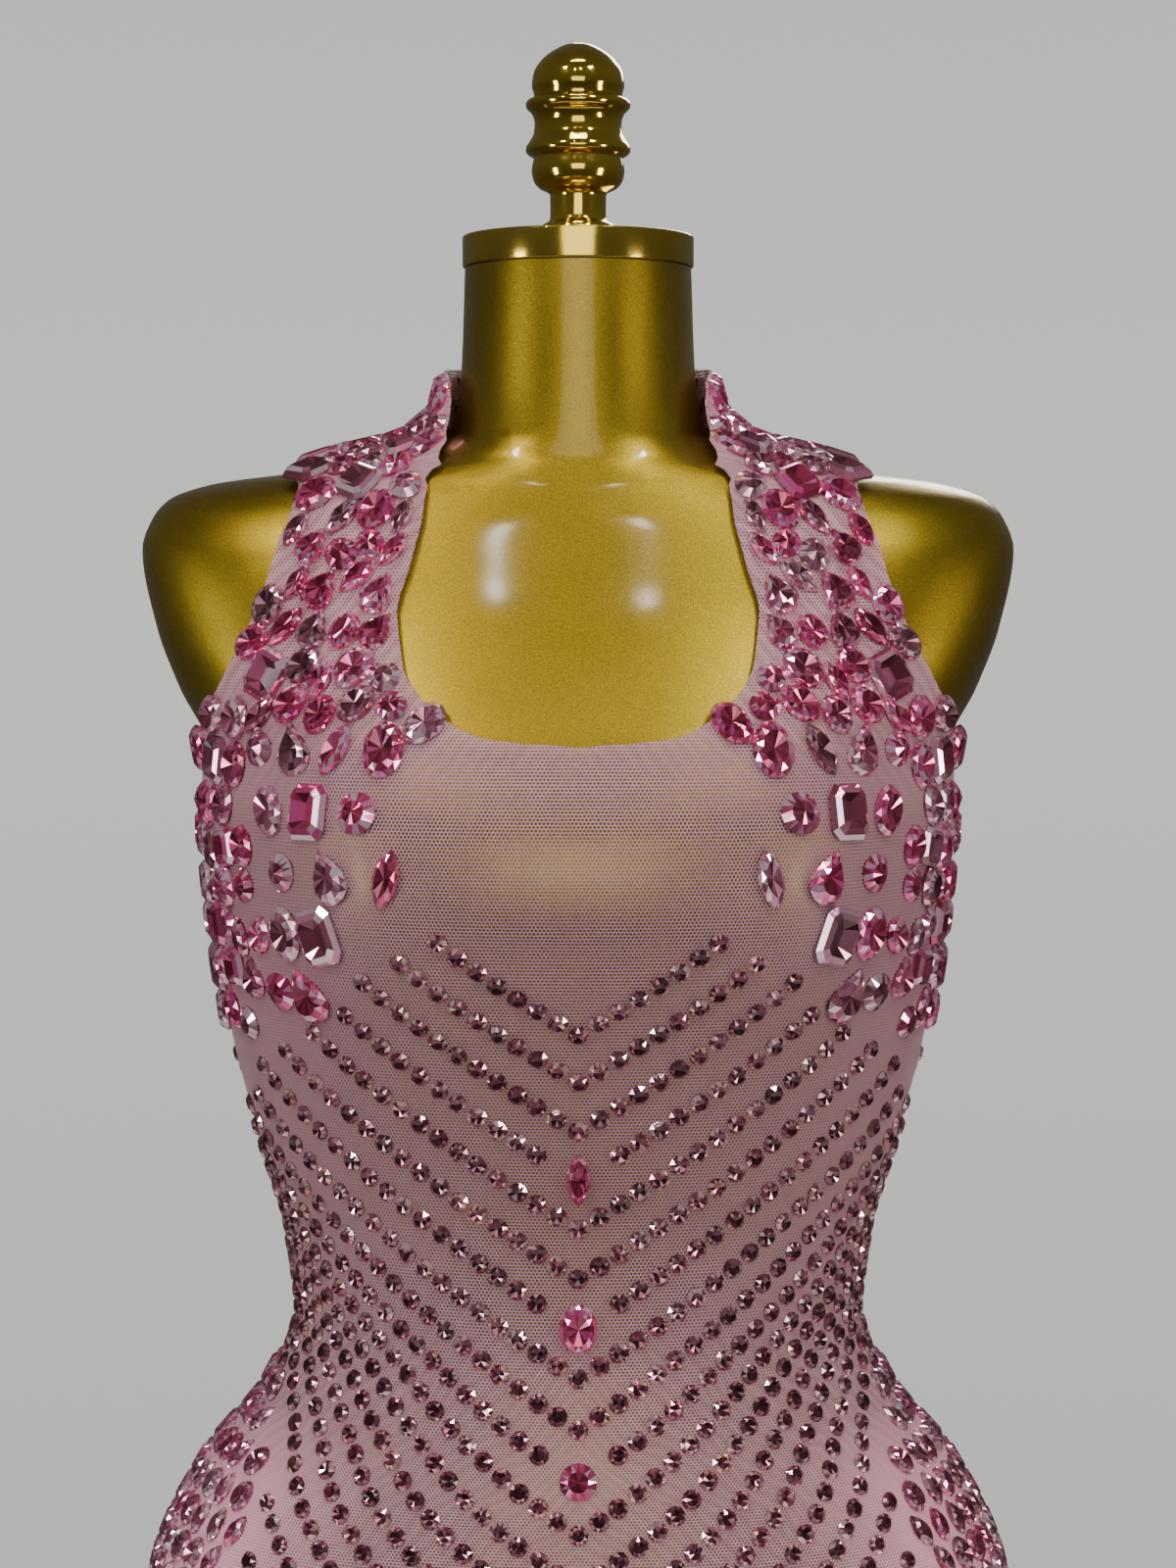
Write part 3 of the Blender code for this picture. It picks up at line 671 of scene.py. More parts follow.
def make_net_cloth(name, tint):
    material, tree, shader = new_material(name)
    uv = add_node(tree, "ShaderNodeUVMap", uv_map="cloth_metres")
    open_share = add_node(tree, "ShaderNodeAttribute", attribute_name="open_share")
    net = place_group(tree, HEX_NET)
    tree.links.new(uv.outputs["UV"], net.inputs["Vector"])
    hole = math_node(tree, "MULTIPLY_ADD", open_share.outputs["Fac"], 0.27, 0.13)
    tree.links.new(hole, net.inputs["Hole"])
    weave = add_node(tree, "ShaderNodeTexWave", wave_type="BANDS", bands_direction="DIAGONAL")
    tree.links.new(uv.outputs["UV"], weave.inputs["Vector"])
    weave.inputs["Scale"].default_value = 95.0
    weave.inputs["Distortion"].default_value = 9.0
    weave.inputs["Detail"].default_value = 2.0
    weave.inputs["Detail Scale"].default_value = 0.35
    slack = math_node(tree, "SUBTRACT", 0.85, open_share.outputs["Fac"])
    slack = math_node(tree, "MAXIMUM", slack, 0.0)
    ridges = math_node(tree, "MULTIPLY", weave.outputs["Fac"], slack)
    # The yarn noise is the net's own tone. Raised threads and ridge crests are painted lighter and hole
    # edges and troughs darker, painted highlight and painted shade over the bump; dark and light are shaded
    # and lit copies of the tint.
    tone = math_node(tree, "MULTIPLY_ADD", net.outputs["Yarn"], 0.5, 0.0)
    tone = math_node(tree, "MULTIPLY_ADD", ridges, 0.9, tone)
    tone = math_node(tree, "MULTIPLY_ADD", net.outputs["Height"], 0.55, tone)
    dark = tuple(0.62 * value for value in tint)
    light = tuple(min(1.0, 1.16 * value) for value in tint)
    # Painted light: the same net is painted a paler pink at the hips, standing in for the light that falls
    # on the hip sides.
    hip_painted_light = add_node(tree, "ShaderNodeAttribute", attribute_name="hip_painted_light")
    hip_painted_light_mix = add_node(tree, "ShaderNodeMix", data_type="RGBA")
    tree.links.new(hip_painted_light.outputs["Fac"], hip_painted_light_mix.inputs["Factor"])
    tree.links.new(colour_ramp(tree, tone, ((0.30, dark), (0.92, light))), hip_painted_light_mix.inputs["A"])
    hip_painted_light_mix.inputs["B"].default_value = (0.86, 0.44, 0.53, 1.0)
    tree.links.new(hip_painted_light_mix.outputs["Result"], shader.inputs["Base Color"])
    shader.inputs["Roughness"].default_value = 0.62
    shader.inputs["Sheen Weight"].default_value = 0.25
    shader.inputs["Sheen Roughness"].default_value = 0.4
    shader.inputs["Sheen Tint"].default_value = (1.0, 0.80, 0.84, 1.0)
    tree.links.new(net.outputs["Thread"], shader.inputs["Alpha"])
    bump = add_node(tree, "ShaderNodeBump")
    bump.inputs["Strength"].default_value = 0.5
    bump.inputs["Distance"].default_value = 0.0002
    relief = math_node(tree, "MULTIPLY_ADD", ridges, 1.5, net.outputs["Height"])
    tree.links.new(relief, bump.inputs["Height"])
    tree.links.new(bump.outputs["Normal"], shader.inputs["Normal"])
    return material


NET = make_net_cloth("front_power_net", (0.520, 0.275, 0.322))


def front_grid():
    """Turns and heights over half of the front, from the hem to the nape."""
    shares = np.linspace(0.0, 1.0, NET_COLUMNS + 1)
    turns = []
    heights = []
    for height in np.linspace(HEM, RINGS_END, 150)[:-1]:
        turns.append(side_turn(height, -1) * shares)
        heights.append(np.full(len(shares), height))
    top_height = strap_place(0.0, shares)[1]
    for rise in np.linspace(0.0, 1.0, 10)[:-1]:
        height = RINGS_END + (top_height - RINGS_END) * rise
        turns.append(side_turn(height, -1) * shares)
        heights.append(height)
    for along in np.linspace(0.0, STRAP_LENGTH, 110):
        turn, height = strap_place(along, shares)
        if along < 0.02:
            turn = np.minimum(turn, side_turn(height, -1))
        turns.append(turn)
        heights.append(height)
    return np.array(turns), np.array(heights)


front_turns, front_heights = front_grid()
front_points = cloth_points(front_turns, front_heights, net_out(front_turns, front_heights))
strap_start = len(front_points) - 110
front_points[:strap_start + 1, 0, 0] = 0.0
front_points[-1, :, 0] = 0.0
front = add_piece("dress_front_net", front_points, grid_faces(*front_points.shape[:2]), NET)
give_uvs(front, net_uvs(front_turns, front_heights))
# Below this height the hips are painted paler (painted light) and their holes close.
PALE_HIP_TOP = -0.035
PALE_HIP_FADE = 0.03
strap_share = np.clip((front_heights - 0.20) / 0.06, 0.0, 1.0)
side_share = np.clip((front_turns - 0.7) / 0.8, 0.0, 1.0) * (front_heights < 0.23)
hip_share = np.clip((PALE_HIP_TOP - front_heights) / PALE_HIP_FADE, 0.0, 1.0)
hip_share = hip_share * np.clip((front_turns - 0.55) / 0.35, 0.0, 1.0)
belly_share = np.clip((0.05 - front_heights) / 0.06, 0.0, 1.0) * (1.0 - hip_share)
closed = 0.60 * strap_share + 0.45 * side_share + 0.40 * hip_share + 0.36 * belly_share
give_values(front, "open_share", np.clip(1.0 - closed, 0.30, 1.0))
give_values(front, "hip_painted_light", hip_share)
finish_net(front)
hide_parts("dress_front")


# Back of the dress
# One piece of the same net, cut on the fold, low at the centre back and scooped up
# to the underarms. It joins the front at the side seams.
BACK_TOP_EDGE = (
    # share of the way from side seam to centre back, height
    (0.00, 0.2260),
    (0.12, 0.2235),
    (0.30, 0.2080),
    (0.55, 0.1620),
    (0.80, 0.1260),
    (1.00, 0.1180),
)
BACK_RINGS_END = 0.052


def back_grid():
    shares = np.linspace(0.0, 1.0, NET_COLUMNS + 1)
    edge = np.array(BACK_TOP_EDGE)
    top = smooth_column(edge[:, 0], edge[:, 1], shares)
    turns = []
    heights = []
    for height in np.linspace(HEM, BACK_RINGS_END, 110)[:-1]:
        heights.append(np.full(len(shares), height))
    for rise in np.linspace(0.0, 1.0, 40):
        heights.append(BACK_RINGS_END + (top - BACK_RINGS_END) * rise)
    for height in heights:
        start = side_turn(height, 1)
        turns.append(start + (math.pi - start) * shares)
    return np.array(turns), np.array(heights)


back_turns, back_heights = back_grid()
back_points = cloth_points(back_turns, back_heights, net_out(back_turns, back_heights))
back_points[:, -1, 0] = 0.0
back = add_piece("dress_back_net", back_points, grid_faces(*back_points.shape[:2]), NET)
give_uvs(back, net_uvs(back_turns, back_heights))
give_values(back, "open_share", 0.75 - 0.30 * np.clip((2.4 - back_turns) / 0.8, 0.0, 1.0))
# The back's hips are painted paler too: painted light.
back_hip_share = np.clip((PALE_HIP_TOP - back_heights) / PALE_HIP_FADE, 0.0, 1.0)
give_values(back, "hip_painted_light", back_hip_share * np.clip((2.6 - back_turns) / 0.4, 0.0, 1.0))
finish_net(back)
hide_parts("dress_back")


# Large foiled stones
# Pointed and flat-backed glass stones 12 to 25 mm long, foiled behind and glued on:
# ovals, octagons, pears, marquises and rounds over the bust and straps, small ovals
# and marquises on the hips, and one at every third V down the centre line.
LARGE_RISE = 0.0046
LARGE_SINK = 0.0005
BUST_ROW_TOP = 0.2320
BUST_ROW_PITCH = 0.0235
BUST_ROW_COUNT = 5
BUST_FIRST_TURN = 28.0
BUST_TURN_STEP = 8.5
BUST_ROW_RETREAT = 8.0
BUST_FULL_ROWS = 3
BUST_STONE_HALF = 0.0115
BUST_CUTS = ("oval", "rivoli", "marquise", "octagon", "pear")
STRAP_STONE_START = 0.056
STRAP_STONE_PITCH = 0.0168
STRAP_STONE_ACROSS = 0.0122
STRAP_STONE_HALF = 0.0091
STRAP_CUTS = ("oval", "octagon", "oval", "pear", "rivoli", "marquise", "marquise", "oval")
SIDE_STONES_LOW = 0.126
SIDE_STONES_TOP = 0.240
SIDE_STONES_END = math.pi / 2 - 0.04
SIDE_STONE_PITCH = 0.0170
SIDE_STONE_ACROSS = 0.0118
SIDE_STONE_HALF = 0.0088
SIDE_CUTS = ("oval", "marquise", "octagon", "pear", "marquise", "rivoli", "oval")
SETTLE_ROUNDS = 60
SETTLE_PROBE = 0.0001
STONE_GAP = 0.0003
MOST_OVERLAP = 0.0016
ROW_SPACING = 0.0195
FRONT_TOP_ROW = 0.126
CENTRE_ROWS_APART = 3
CENTRE_COUNT = 7
CENTRE_STONE_HALF = 0.0100
CENTRE_CUTS = ("rivoli", "marquise", "oval")
HIP_TOP = -0.030
HIP_BOTTOM = -0.200
HIP_ROW = 0.0125
HIP_PITCH = 0.0100
HIP_RISE = 0.0036
HIP_SINK = 0.0004
HIP_HUES = (0.0, 0.1, 0.3, 0.6)
CUT_WIDTHS = {"oval": 0.74, "octagon": 0.84, "pear": 0.72, "marquise": 0.46, "rivoli": 1.0}
CUT_LENGTHS = {"oval": 1.0, "octagon": 1.0, "pear": 1.03, "marquise": 1.03, "rivoli": 0.73}


def arc_speed(turn, height):
    """Metres of horizontal arc for one radian of turn."""
    ahead = skin_points(CLOTH_SKIN, turn + 0.004, height)
    behind = skin_points(CLOTH_SKIN, turn - 0.004, height)
    return np.linalg.norm(ahead - behind, axis=-1) / 0.008


def stone_frames(turns, heights, leans, sink):
    """Seats and axes of stones: across, along and out, with the lean of the long axis."""
    turns = np.asarray(turns, dtype=float)
    heights = np.asarray(heights, dtype=float)
    normal = skin_normals(CLOTH_SKIN, turns, heights)
    seat = cloth_points(turns, heights, net_out(turns, heights) - sink)
    level = np.stack([-normal[:, 1], normal[:, 0], np.zeros(len(turns))], axis=-1)
    level = level / np.linalg.norm(level, axis=-1, keepdims=True)
    upward = np.cross(normal, level)
    lean = np.asarray(leans, dtype=float)[:, None]
    along = np.cos(lean) * level + np.sin(lean) * upward
    across = np.cross(along, normal)
    return seat, across, along, normal


def cut_outline(cut, t):
    """Outline of a cut, from -1 to 1 both ways, at the angles t from its head."""
    x = np.sin(t)
    y = np.cos(t)
    if cut == "marquise":
        x = x * np.abs(x) ** 0.55
    elif cut == "pear":
        x = x * np.abs(np.sin(t / 2)) ** 1.15 / 0.742
    elif cut == "octagon":
        x = np.clip(1.75 * x, -1.0, 1.0)
        y = np.clip(1.75 * y, -1.0, 1.0)
    return np.stack([x, y], axis=-1)


CUT_SIDES = {"round": 10, "oval": 16, "marquise": 14, "pear": 16, "octagon": 8, "rivoli": 16}
BRILLIANT_TIERS = ((0.95, 0.0, 0.0), (1.0, 0.30, 0.0), (0.84, 0.70, 0.5), (0.60, 1.0, 0.0))
STEP_TIERS = ((0.95, 0.0, 0.0), (1.0, 0.30, 0.0), (0.84, 0.72, 0.0), (0.64, 1.0, 0.0))
SMALL_TIERS = ((0.96, 0.0, 0.0), (1.0, 0.32, 0.0), (0.60, 1.0, 0.5))
RIVOLI_TIERS = ((0.95, 0.0, 0.0), (1.0, 0.28, 0.0), (0.56, 0.74, 0.5))


# Painted light on the cuts: crown tiers are painted lighter and the table darker (painted shade), standing
# in for the glints and dark reflections of foiled glass.
TIER_PAINTED_LIGHT = (0.16, 0.24, 0.14)
TABLE_PAINTED_SHADE = -0.20


def cut_template(cut):
    """Corner places (across, along, out) and faces of one cut, closed all round."""
    sides = CUT_SIDES[cut]
    tiers = {"round": SMALL_TIERS, "octagon": STEP_TIERS, "rivoli": RIVOLI_TIERS}.get(cut, BRILLIANT_TIERS)
    offset = 0.5 if cut == "octagon" else 0.0
    points = []
    for scale, height, shift in tiers:
        outline = cut_outline(cut, math.tau * (np.arange(sides) + shift + offset) / sides)
        points += [(scale * x, scale * y, height) for x, y in outline]
    faces = [tuple(range(sides))]
    facet_painted_light = [0.0]
    for i in range(len(tiers) - 1):
        low = i * sides
        high = low + sides
        turned = tiers[i + 1][2] - tiers[i][2]
        for k in range(sides):
            n = (k + 1) % sides
            if turned == 0.0:
                faces.append((low + k, high + k, high + n, low + n))
            elif turned > 0.0:
                faces.append((low + k, high + k, low + n))
                faces.append((high + k, high + n, low + n))
            else:
                faces.append((low + k, high + n, low + n))
                faces.append((low + k, high + k, high + n))
        facet_painted_light += [TIER_PAINTED_LIGHT[i]] * (len(faces) - len(facet_painted_light))
    low = (len(tiers) - 1) * sides
    middle = len(points)
    keel = 0.30 if cut == "octagon" else 0.0
    depth = {"rivoli": 1.0, "round": 0.62}.get(cut, 0.52)
    points.append((0.0, keel, depth))
    if keel:
        points.append((0.0, -keel, depth))
    for k in range(sides):
        n = (k + 1) % sides
        if not keel:
            faces.append((low + k, middle, low + n))
            continue
        ends = [middle if points[low + j][1] > 0 else middle + 1 for j in (k, n)]
        if ends[0] == ends[1]:
            faces.append((low + k, ends[0], low + n))
        else:
            faces.append((low + k, ends[0], ends[1], low + n))
    facet_painted_light += [TABLE_PAINTED_SHADE] * (len(faces) - len(facet_painted_light))
    return np.array(points), faces, np.array(facet_painted_light)


def add_stones(name, stones, material, seed, sink):
    """One joined mesh of stones: turn, height, cut, half length, half width, rise, lean, hue."""
    templates = {cut: cut_template(cut) for cut in {stone[2] for stone in stones}}
    seat, across, along, normal = stone_frames(
        [s[0] for s in stones], [s[1] for s in stones], [s[6] for s in stones], sink
    )
    dice = np.random.default_rng(seed)
    points = []
    faces = []
    tones_and_glints = []
    hues = []
    count = 0
    for i, stone in enumerate(stones):
        corners, template, facet_painted_light = templates[stone[2]]
        tilt = dice.normal(0.0, 0.035, 2)
        out = normal[i] + across[i] * tilt[0] + along[i] * tilt[1]
        places = seat[i] + np.outer(corners[:, 0] * stone[4], across[i])
        places = places + np.outer(corners[:, 1] * stone[3], along[i])
        points.append(places + np.outer(corners[:, 2] * stone[5], out))
        faces += [tuple(count + corner for corner in face) for face in template]
        # Each stone has its own tone; on top go the painted facet light and a painted random glint or dark
        # reflection on each facet.
        base = dice.uniform(0.32, 0.66)
        tones_and_glints.append(np.clip(base + facet_painted_light + dice.normal(0.0, 0.23, len(template)), 0.0, 1.0))
        hues.append(np.full(len(template), stone[7]))
        count += len(corners)
    mesh = bpy.data.meshes.new(name)
    mesh.from_pydata(np.concatenate(points).tolist(), [], faces)
    mesh.materials.append(material)
    for label, values in (("facet_tone_and_glint", tones_and_glints), ("facet_hue", hues)):
        layer = mesh.attributes.new(label, "FLOAT", "FACE")
        layer.data.foreach_set("value", np.concatenate(values).astype(np.float32))
    piece = bpy.data.objects.new(name, mesh)
    bpy.context.scene.collection.objects.link(piece)
    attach(piece, "root")
    return piece


def side_stones_start(height):
    """Turn where the close stones of the bust side begin: further round lower down."""
    return np.interp(height, (0.115, 0.150, 0.180, 0.240), (1.15, 0.92, 0.98, 1.02))


def stone_radius(ways, along, across, half_lengths, half_widths):
    """How far an oval stone reaches in the given directions."""
    first = np.sum(ways * along, axis=-1) / half_lengths
    second = np.sum(ways * across, axis=-1) / half_widths
    return 1.0 / np.sqrt(np.maximum(first**2 + second**2, 1.0 / half_lengths**2))


def stone_bed(turns, heights, cuts, halves, leans):
    """Seats, axes and half sizes of stones, as arrays."""
    seats, acrosses, alongs, _ = stone_frames(turns, heights, leans, 0.0)
    lengths = np.array([half * CUT_LENGTHS[cut] for half, cut in zip(halves, cuts)])
    widths = lengths * np.array([CUT_WIDTHS[cut] for cut in cuts])
    return [seats, acrosses, alongs, lengths, widths]


def overlaps(bed, others):
    """How far each stone runs into each of the others, and the way to them."""
    gaps = others[0][None] - bed[0][:, None]
    far = np.linalg.norm(gaps, axis=-1)
    ways = gaps / np.maximum(far, 0.0001)[..., None]
    reach = stone_radius(ways, bed[2][:, None], bed[1][:, None], bed[3][:, None], bed[4][:, None])
    reach = reach + stone_radius(ways, others[2][None], others[1][None], others[3][None], others[4][None])
    return np.where(far > 0.0001, np.maximum(reach + STONE_GAP - far, 0.0), 0.0), ways


def settle(place, limits, spots, cuts, halves, leans, fixed):
    """Push stones apart over the cloth until they barely touch; the fixed ones stay."""
    for _ in range(SETTLE_ROUNDS):
        bed = stone_bed(*place(spots), cuts, halves, leans)
        others = [np.concatenate(pair) for pair in zip(bed, fixed)]
        run_in, ways = overlaps(bed, others)
        share = np.where(np.arange(len(others[0])) < len(spots), 0.5, 1.0)
        push = -np.sum(ways * (run_in * share)[..., None], axis=1)
        for axis in (0, 1):
            moved = spots.copy()
            moved[:, axis] += SETTLE_PROBE
            turns, heights = place(moved)
            rate = (cloth_points(turns, heights, 0.0) - cloth_points(*place(spots), 0.0)) / SETTLE_PROBE
            spots[:, axis] += 0.6 * np.sum(push * rate, axis=1) / np.sum(rate**2, axis=1)
        spots = limits(spots)
    turns, heights = place(spots)
    return list(zip(turns, heights, cuts, halves, leans))


def make_large_stones():
    dice = random.Random(41)
    placed = []
    for row in range(BUST_ROW_COUNT):
        height = BUST_ROW_TOP - row * BUST_ROW_PITCH
        first = BUST_FIRST_TURN + (row % 2) * BUST_TURN_STEP / 2
        first += BUST_ROW_RETREAT * max(row - BUST_FULL_ROWS + 1, 0)
        room = math.degrees(float(side_stones_start(height))) - first
        count = max(round(room / BUST_TURN_STEP), 1)
        for k in range(count):
            cut = BUST_CUTS[(row + 2 * k) % len(BUST_CUTS)]
            turn = math.radians(first + room * k / count)
            lean = math.radians(90.0 + 24.0 * math.sin(row * 1.3 + k * 1.9))
            placed.append((turn, height, cut, BUST_STONE_HALF * (1.0 - 0.05 * k), lean))

    spots = []
    cuts = []
    halves = []
    leans = []
    row = 0
    along = STRAP_STONE_START
    while along < STRAP_LENGTH - 0.006:
        count = max(int(round(strap_width(along) / STRAP_STONE_ACROSS)), 2)
        for k in range(count):
            shift = (k % 2 - 0.5) * 0.5 * STRAP_STONE_PITCH + dice.uniform(-0.002, 0.002)
            spots.append((along + shift, (k + 0.5) / count + dice.uniform(-0.04, 0.04)))
            cuts.append(dice.choice(STRAP_CUTS))
            halves.append(STRAP_STONE_HALF * dice.uniform(0.86, 1.10))
            leans.append(math.pi - math.radians(57.0 + dice.uniform(-16.0, 16.0)))
        along += STRAP_STONE_PITCH
    halves = np.array(halves)

    def strap_spots(spots):
        return strap_place(spots[:, 0], spots[:, 1])

    def within_strap(spots):
        spots[:, 0] = np.clip(spots[:, 0], STRAP_STONE_START - 0.008, STRAP_LENGTH - 0.006)
        widths = np.interp(spots[:, 0], width_places, width_values)
        spots[:, 1] = np.clip(spots[:, 1], (0.78 * halves + 0.0014) / widths, 1.0 - 0.55 * halves / widths)
        return spots

    width_places = np.linspace(0.0, STRAP_LENGTH, 60)
    width_values = [strap_width(place) for place in width_places]
    fixed = stone_bed(*zip(*placed))
    placed += settle(strap_spots, within_strap, np.array(spots), cuts, halves, np.array(leans), fixed)

    spots = []
    cuts = []
    side_halves = []
    leans = []
    height = SIDE_STONES_LOW
    while height < SIDE_STONES_TOP:
        speed = float(arc_speed(1.2, height))
        first = side_stones_start(height)
        turn = first + (row % 2) * 0.5 * SIDE_STONE_ACROSS / speed
        while turn < SIDE_STONES_END:
            spots.append((turn + dice.uniform(-0.02, 0.02), height + dice.uniform(-0.003, 0.003)))
            cuts.append(dice.choice(SIDE_CUTS))
            side_halves.append(SIDE_STONE_HALF * dice.uniform(0.86, 1.12))
            leans.append(math.radians(90.0 + dice.uniform(-20.0, 20.0)))
            turn += SIDE_STONE_ACROSS / speed
        height += SIDE_STONE_PITCH
        row += 1

    def side_spots(spots):
        return spots[:, 0], spots[:, 1]

    def within_side(spots):
        spots[:, 1] = np.clip(spots[:, 1], SIDE_STONES_LOW - 0.004, SIDE_STONES_TOP)
        starts = side_stones_start(spots[:, 1])
        spots[:, 0] = np.clip(spots[:, 0], starts, SIDE_STONES_END)
        return spots

    fixed = stone_bed(*zip(*placed))
    placed += settle(side_spots, within_side, np.array(spots), cuts, side_halves, np.array(leans), fixed)

    bed = stone_bed(*zip(*placed))
    run_in = overlaps(bed, bed)[0]
    kept = []
    for k in range(len(placed)):
        if all(run_in[k, other] < MOST_OVERLAP for other in kept):
            kept.append(k)
    stones = []
    for k in kept:
        turn, height, cut, half, lean = placed[k]
        half_length = half * CUT_LENGTHS[cut]
        for side in (1, -1):
            hue = dice.choice((0.0, 0.15, 0.35, 0.55, 0.8, 1.0, 1.0))
            mirrored = lean if side > 0 else math.pi - lean
            size = (half_length, half_length * CUT_WIDTHS[cut])
            stones.append((side * float(turn), float(height), cut, *size, LARGE_RISE, float(mirrored), hue))
    return stones


def make_hip_stones():
    dice = random.Random(7)
    stones = []
    height = HIP_TOP
    row = 0
    while height > HIP_BOTTOM:
        reach = np.clip((HIP_TOP - height) / 0.035, 0.0, 1.0)
        fade = np.clip((height - HIP_BOTTOM) / 0.05, 0.3, 1.0)
        speed = float(arc_speed(math.pi / 2, height))
        first = math.pi / 2 - math.radians(16.0 + 19.0 * reach) * fade
        last = math.pi / 2 + math.radians(12.0 + 18.0 * reach) * fade
        turn = first + (row % 2) * 0.5 * HIP_PITCH / speed
        while turn < last:
            cut = ("marquise", "oval", "marquise")[dice.randrange(3)]
            half = 0.0072 if cut == "oval" else 0.0078
            width = half * (0.70 if cut == "oval" else 0.46)
            lean = math.pi / 2 - 0.35 + dice.uniform(-0.25, 0.25)
            for side in (1, -1):
                place = turn + dice.uniform(-0.0006, 0.0006) / speed
                turned = math.pi / 2 + side * (math.pi / 2 - lean)
                hue = dice.choice(HIP_HUES)
                stones.append((side * place, height, cut, half, width, HIP_RISE, turned, hue))
            turn += HIP_PITCH / speed
        height -= HIP_ROW
        row += 1
    return stones


def make_glass(name, cool, warm):
    """Foiled glass: the tone of a facet picks its depth, the hue mixes two pinks; the tone carries painted
    glints and painted dark reflections.
    """
    material, tree, shader = new_material(name)
    tone = add_node(tree, "ShaderNodeAttribute", attribute_name="facet_tone_and_glint")
    hue = add_node(tree, "ShaderNodeAttribute", attribute_name="facet_hue")
    mix = add_node(tree, "ShaderNodeMix", data_type="RGBA")
    tree.links.new(hue.outputs["Fac"], mix.inputs["Factor"])
    tree.links.new(colour_ramp(tree, tone.outputs["Fac"], cool), mix.inputs["A"])
    tree.links.new(colour_ramp(tree, tone.outputs["Fac"], warm), mix.inputs["B"])
    tree.links.new(mix.outputs["Result"], shader.inputs["Base Color"])
    shader.inputs["Metallic"].default_value = 0.76
    shader.inputs["Roughness"].default_value = 0.07
    shader.inputs["Coat Weight"].default_value = 0.8
    shader.inputs["Coat Roughness"].default_value = 0.02
    return material


# Each ramp runs from a painted dark reflection to a near-white painted glint at its top.
LARGE_GLASS = make_glass(
    "large_foiled_glass",
    (
        (0.05, (0.10, 0.03, 0.045)),
        (0.40, (0.31, 0.10, 0.14)),
        (0.75, (0.62, 0.27, 0.39)),
        (0.97, (1.0, 0.76, 0.86)),
    ),
    (
        (0.05, (0.20, 0.015, 0.045)),
        (0.40, (0.55, 0.055, 0.15)),
        (0.75, (1.0, 0.13, 0.44)),
        (0.97, (1.0, 0.66, 0.84)),
    ),
)

large_stones = make_large_stones()
hip_stones = make_hip_stones()
centre_stones = []
for k in range(1, CENTRE_COUNT + 1):
    cut = CENTRE_CUTS[k % len(CENTRE_CUTS)]
    height = FRONT_TOP_ROW - k * CENTRE_ROWS_APART * ROW_SPACING
    half_length = CENTRE_STONE_HALF * CUT_LENGTHS[cut]
    half_width = half_length * CUT_WIDTHS[cut]
    centre_stones.append((0.0, height, cut, half_length, half_width, LARGE_RISE, -math.pi / 2, 1.0))
add_stones("bust_and_strap_stones", large_stones + centre_stones, LARGE_GLASS, 5, LARGE_SINK)
add_stones("hip_stones", hip_stones, LARGE_GLASS, 6, HIP_SINK)


# Small flat-backed stones
# Faceted dark rose rounds of 8 mm, heat set on the net in even V rows that climb from
# the centre line to the sides, front and back.
SMALL_RADIUS = 0.0040
SMALL_HEIGHT = 0.0021
SMALL_PITCH = 0.0091
SMALL_CLEARANCE = 0.0078
SMALL_SINK = 0.0002
ROW_CLIMB = 0.60
ROW_SIDE_CLIMB = 0.95
ROW_SIDE_ARC = 0.110
BACK_TOP_ROW = 0.092
SMALL_STONES_TOP = 0.174
SMALL_STONES_LEVEL = 0.055
SMALL_STONES_FALL = 0.90
ROW_STEP = 0.0005
ROW_STEPS = 1300
HEM_CLEARANCE = 0.010
ROW_PAUSE = 0.0008


def row_slope(arc):
    """How steeply a row climbs: gently at the centre line, more at the sides."""
    return np.interp(arc, (0.0, ROW_SIDE_ARC), (ROW_CLIMB, ROW_SIDE_CLIMB))


def stone_rows(apex_heights, mirror_back):
    """Turn, height, arc and row number of evenly spaced places along every row."""
    low_edge = HEM + HEM_CLEARANCE
    height = np.array(apex_heights)
    turn = np.zeros(len(height))
    arc = np.zeros(len(height))
    length = np.zeros(len(turn))
    wanted = np.zeros(len(turn))
    before = skin_points(CLOTH_SKIN, math.pi - turn if mirror_back else turn, height)
    places = []
    for _ in range(ROW_STEPS):
        due = (length >= wanted) & (turn < math.pi / 2) & (height < 0.23)
        for row in np.flatnonzero(due & (height > low_edge)):
            places.append((turn[row], height[row], arc[row], row))
        wanted[due] += SMALL_PITCH
        slope = row_slope(arc)
        run = ROW_STEP / np.sqrt(1 + slope**2)
        real_turn = math.pi - turn if mirror_back else turn
        turn = turn + run / arc_speed(real_turn, np.maximum(height, HEM))
        height = np.minimum(height + run * slope, 0.30)
        arc = arc + run
        after = skin_points(CLOTH_SKIN, math.pi - turn if mirror_back else turn, height)
        length = length + np.linalg.norm(after - before, axis=-1)
        before = after
    places.sort(key=lambda place: place[3])
    return [(math.pi - t if mirror_back else t, z, a, row) for t, z, a, row in places]


# Each ramp runs from a painted dark reflection to a near-white painted glint at its top.
SMALL_GLASS = make_glass(
    "small_rose_glass",
    (
        (0.05, (0.04, 0.010, 0.016)),
        (0.50, (0.15, 0.040, 0.064)),
        (0.82, (0.40, 0.15, 0.21)),
        (0.98, (0.95, 0.64, 0.72)),
    ),
    (
        (0.05, (0.06, 0.008, 0.020)),
        (0.50, (0.22, 0.046, 0.082)),
        (0.82, (0.56, 0.17, 0.26)),
        (0.98, (1.0, 0.62, 0.50)),
    ),
)


def stone_reach(stone):
    return max(stone[3], stone[4] * 1.25) * 0.92


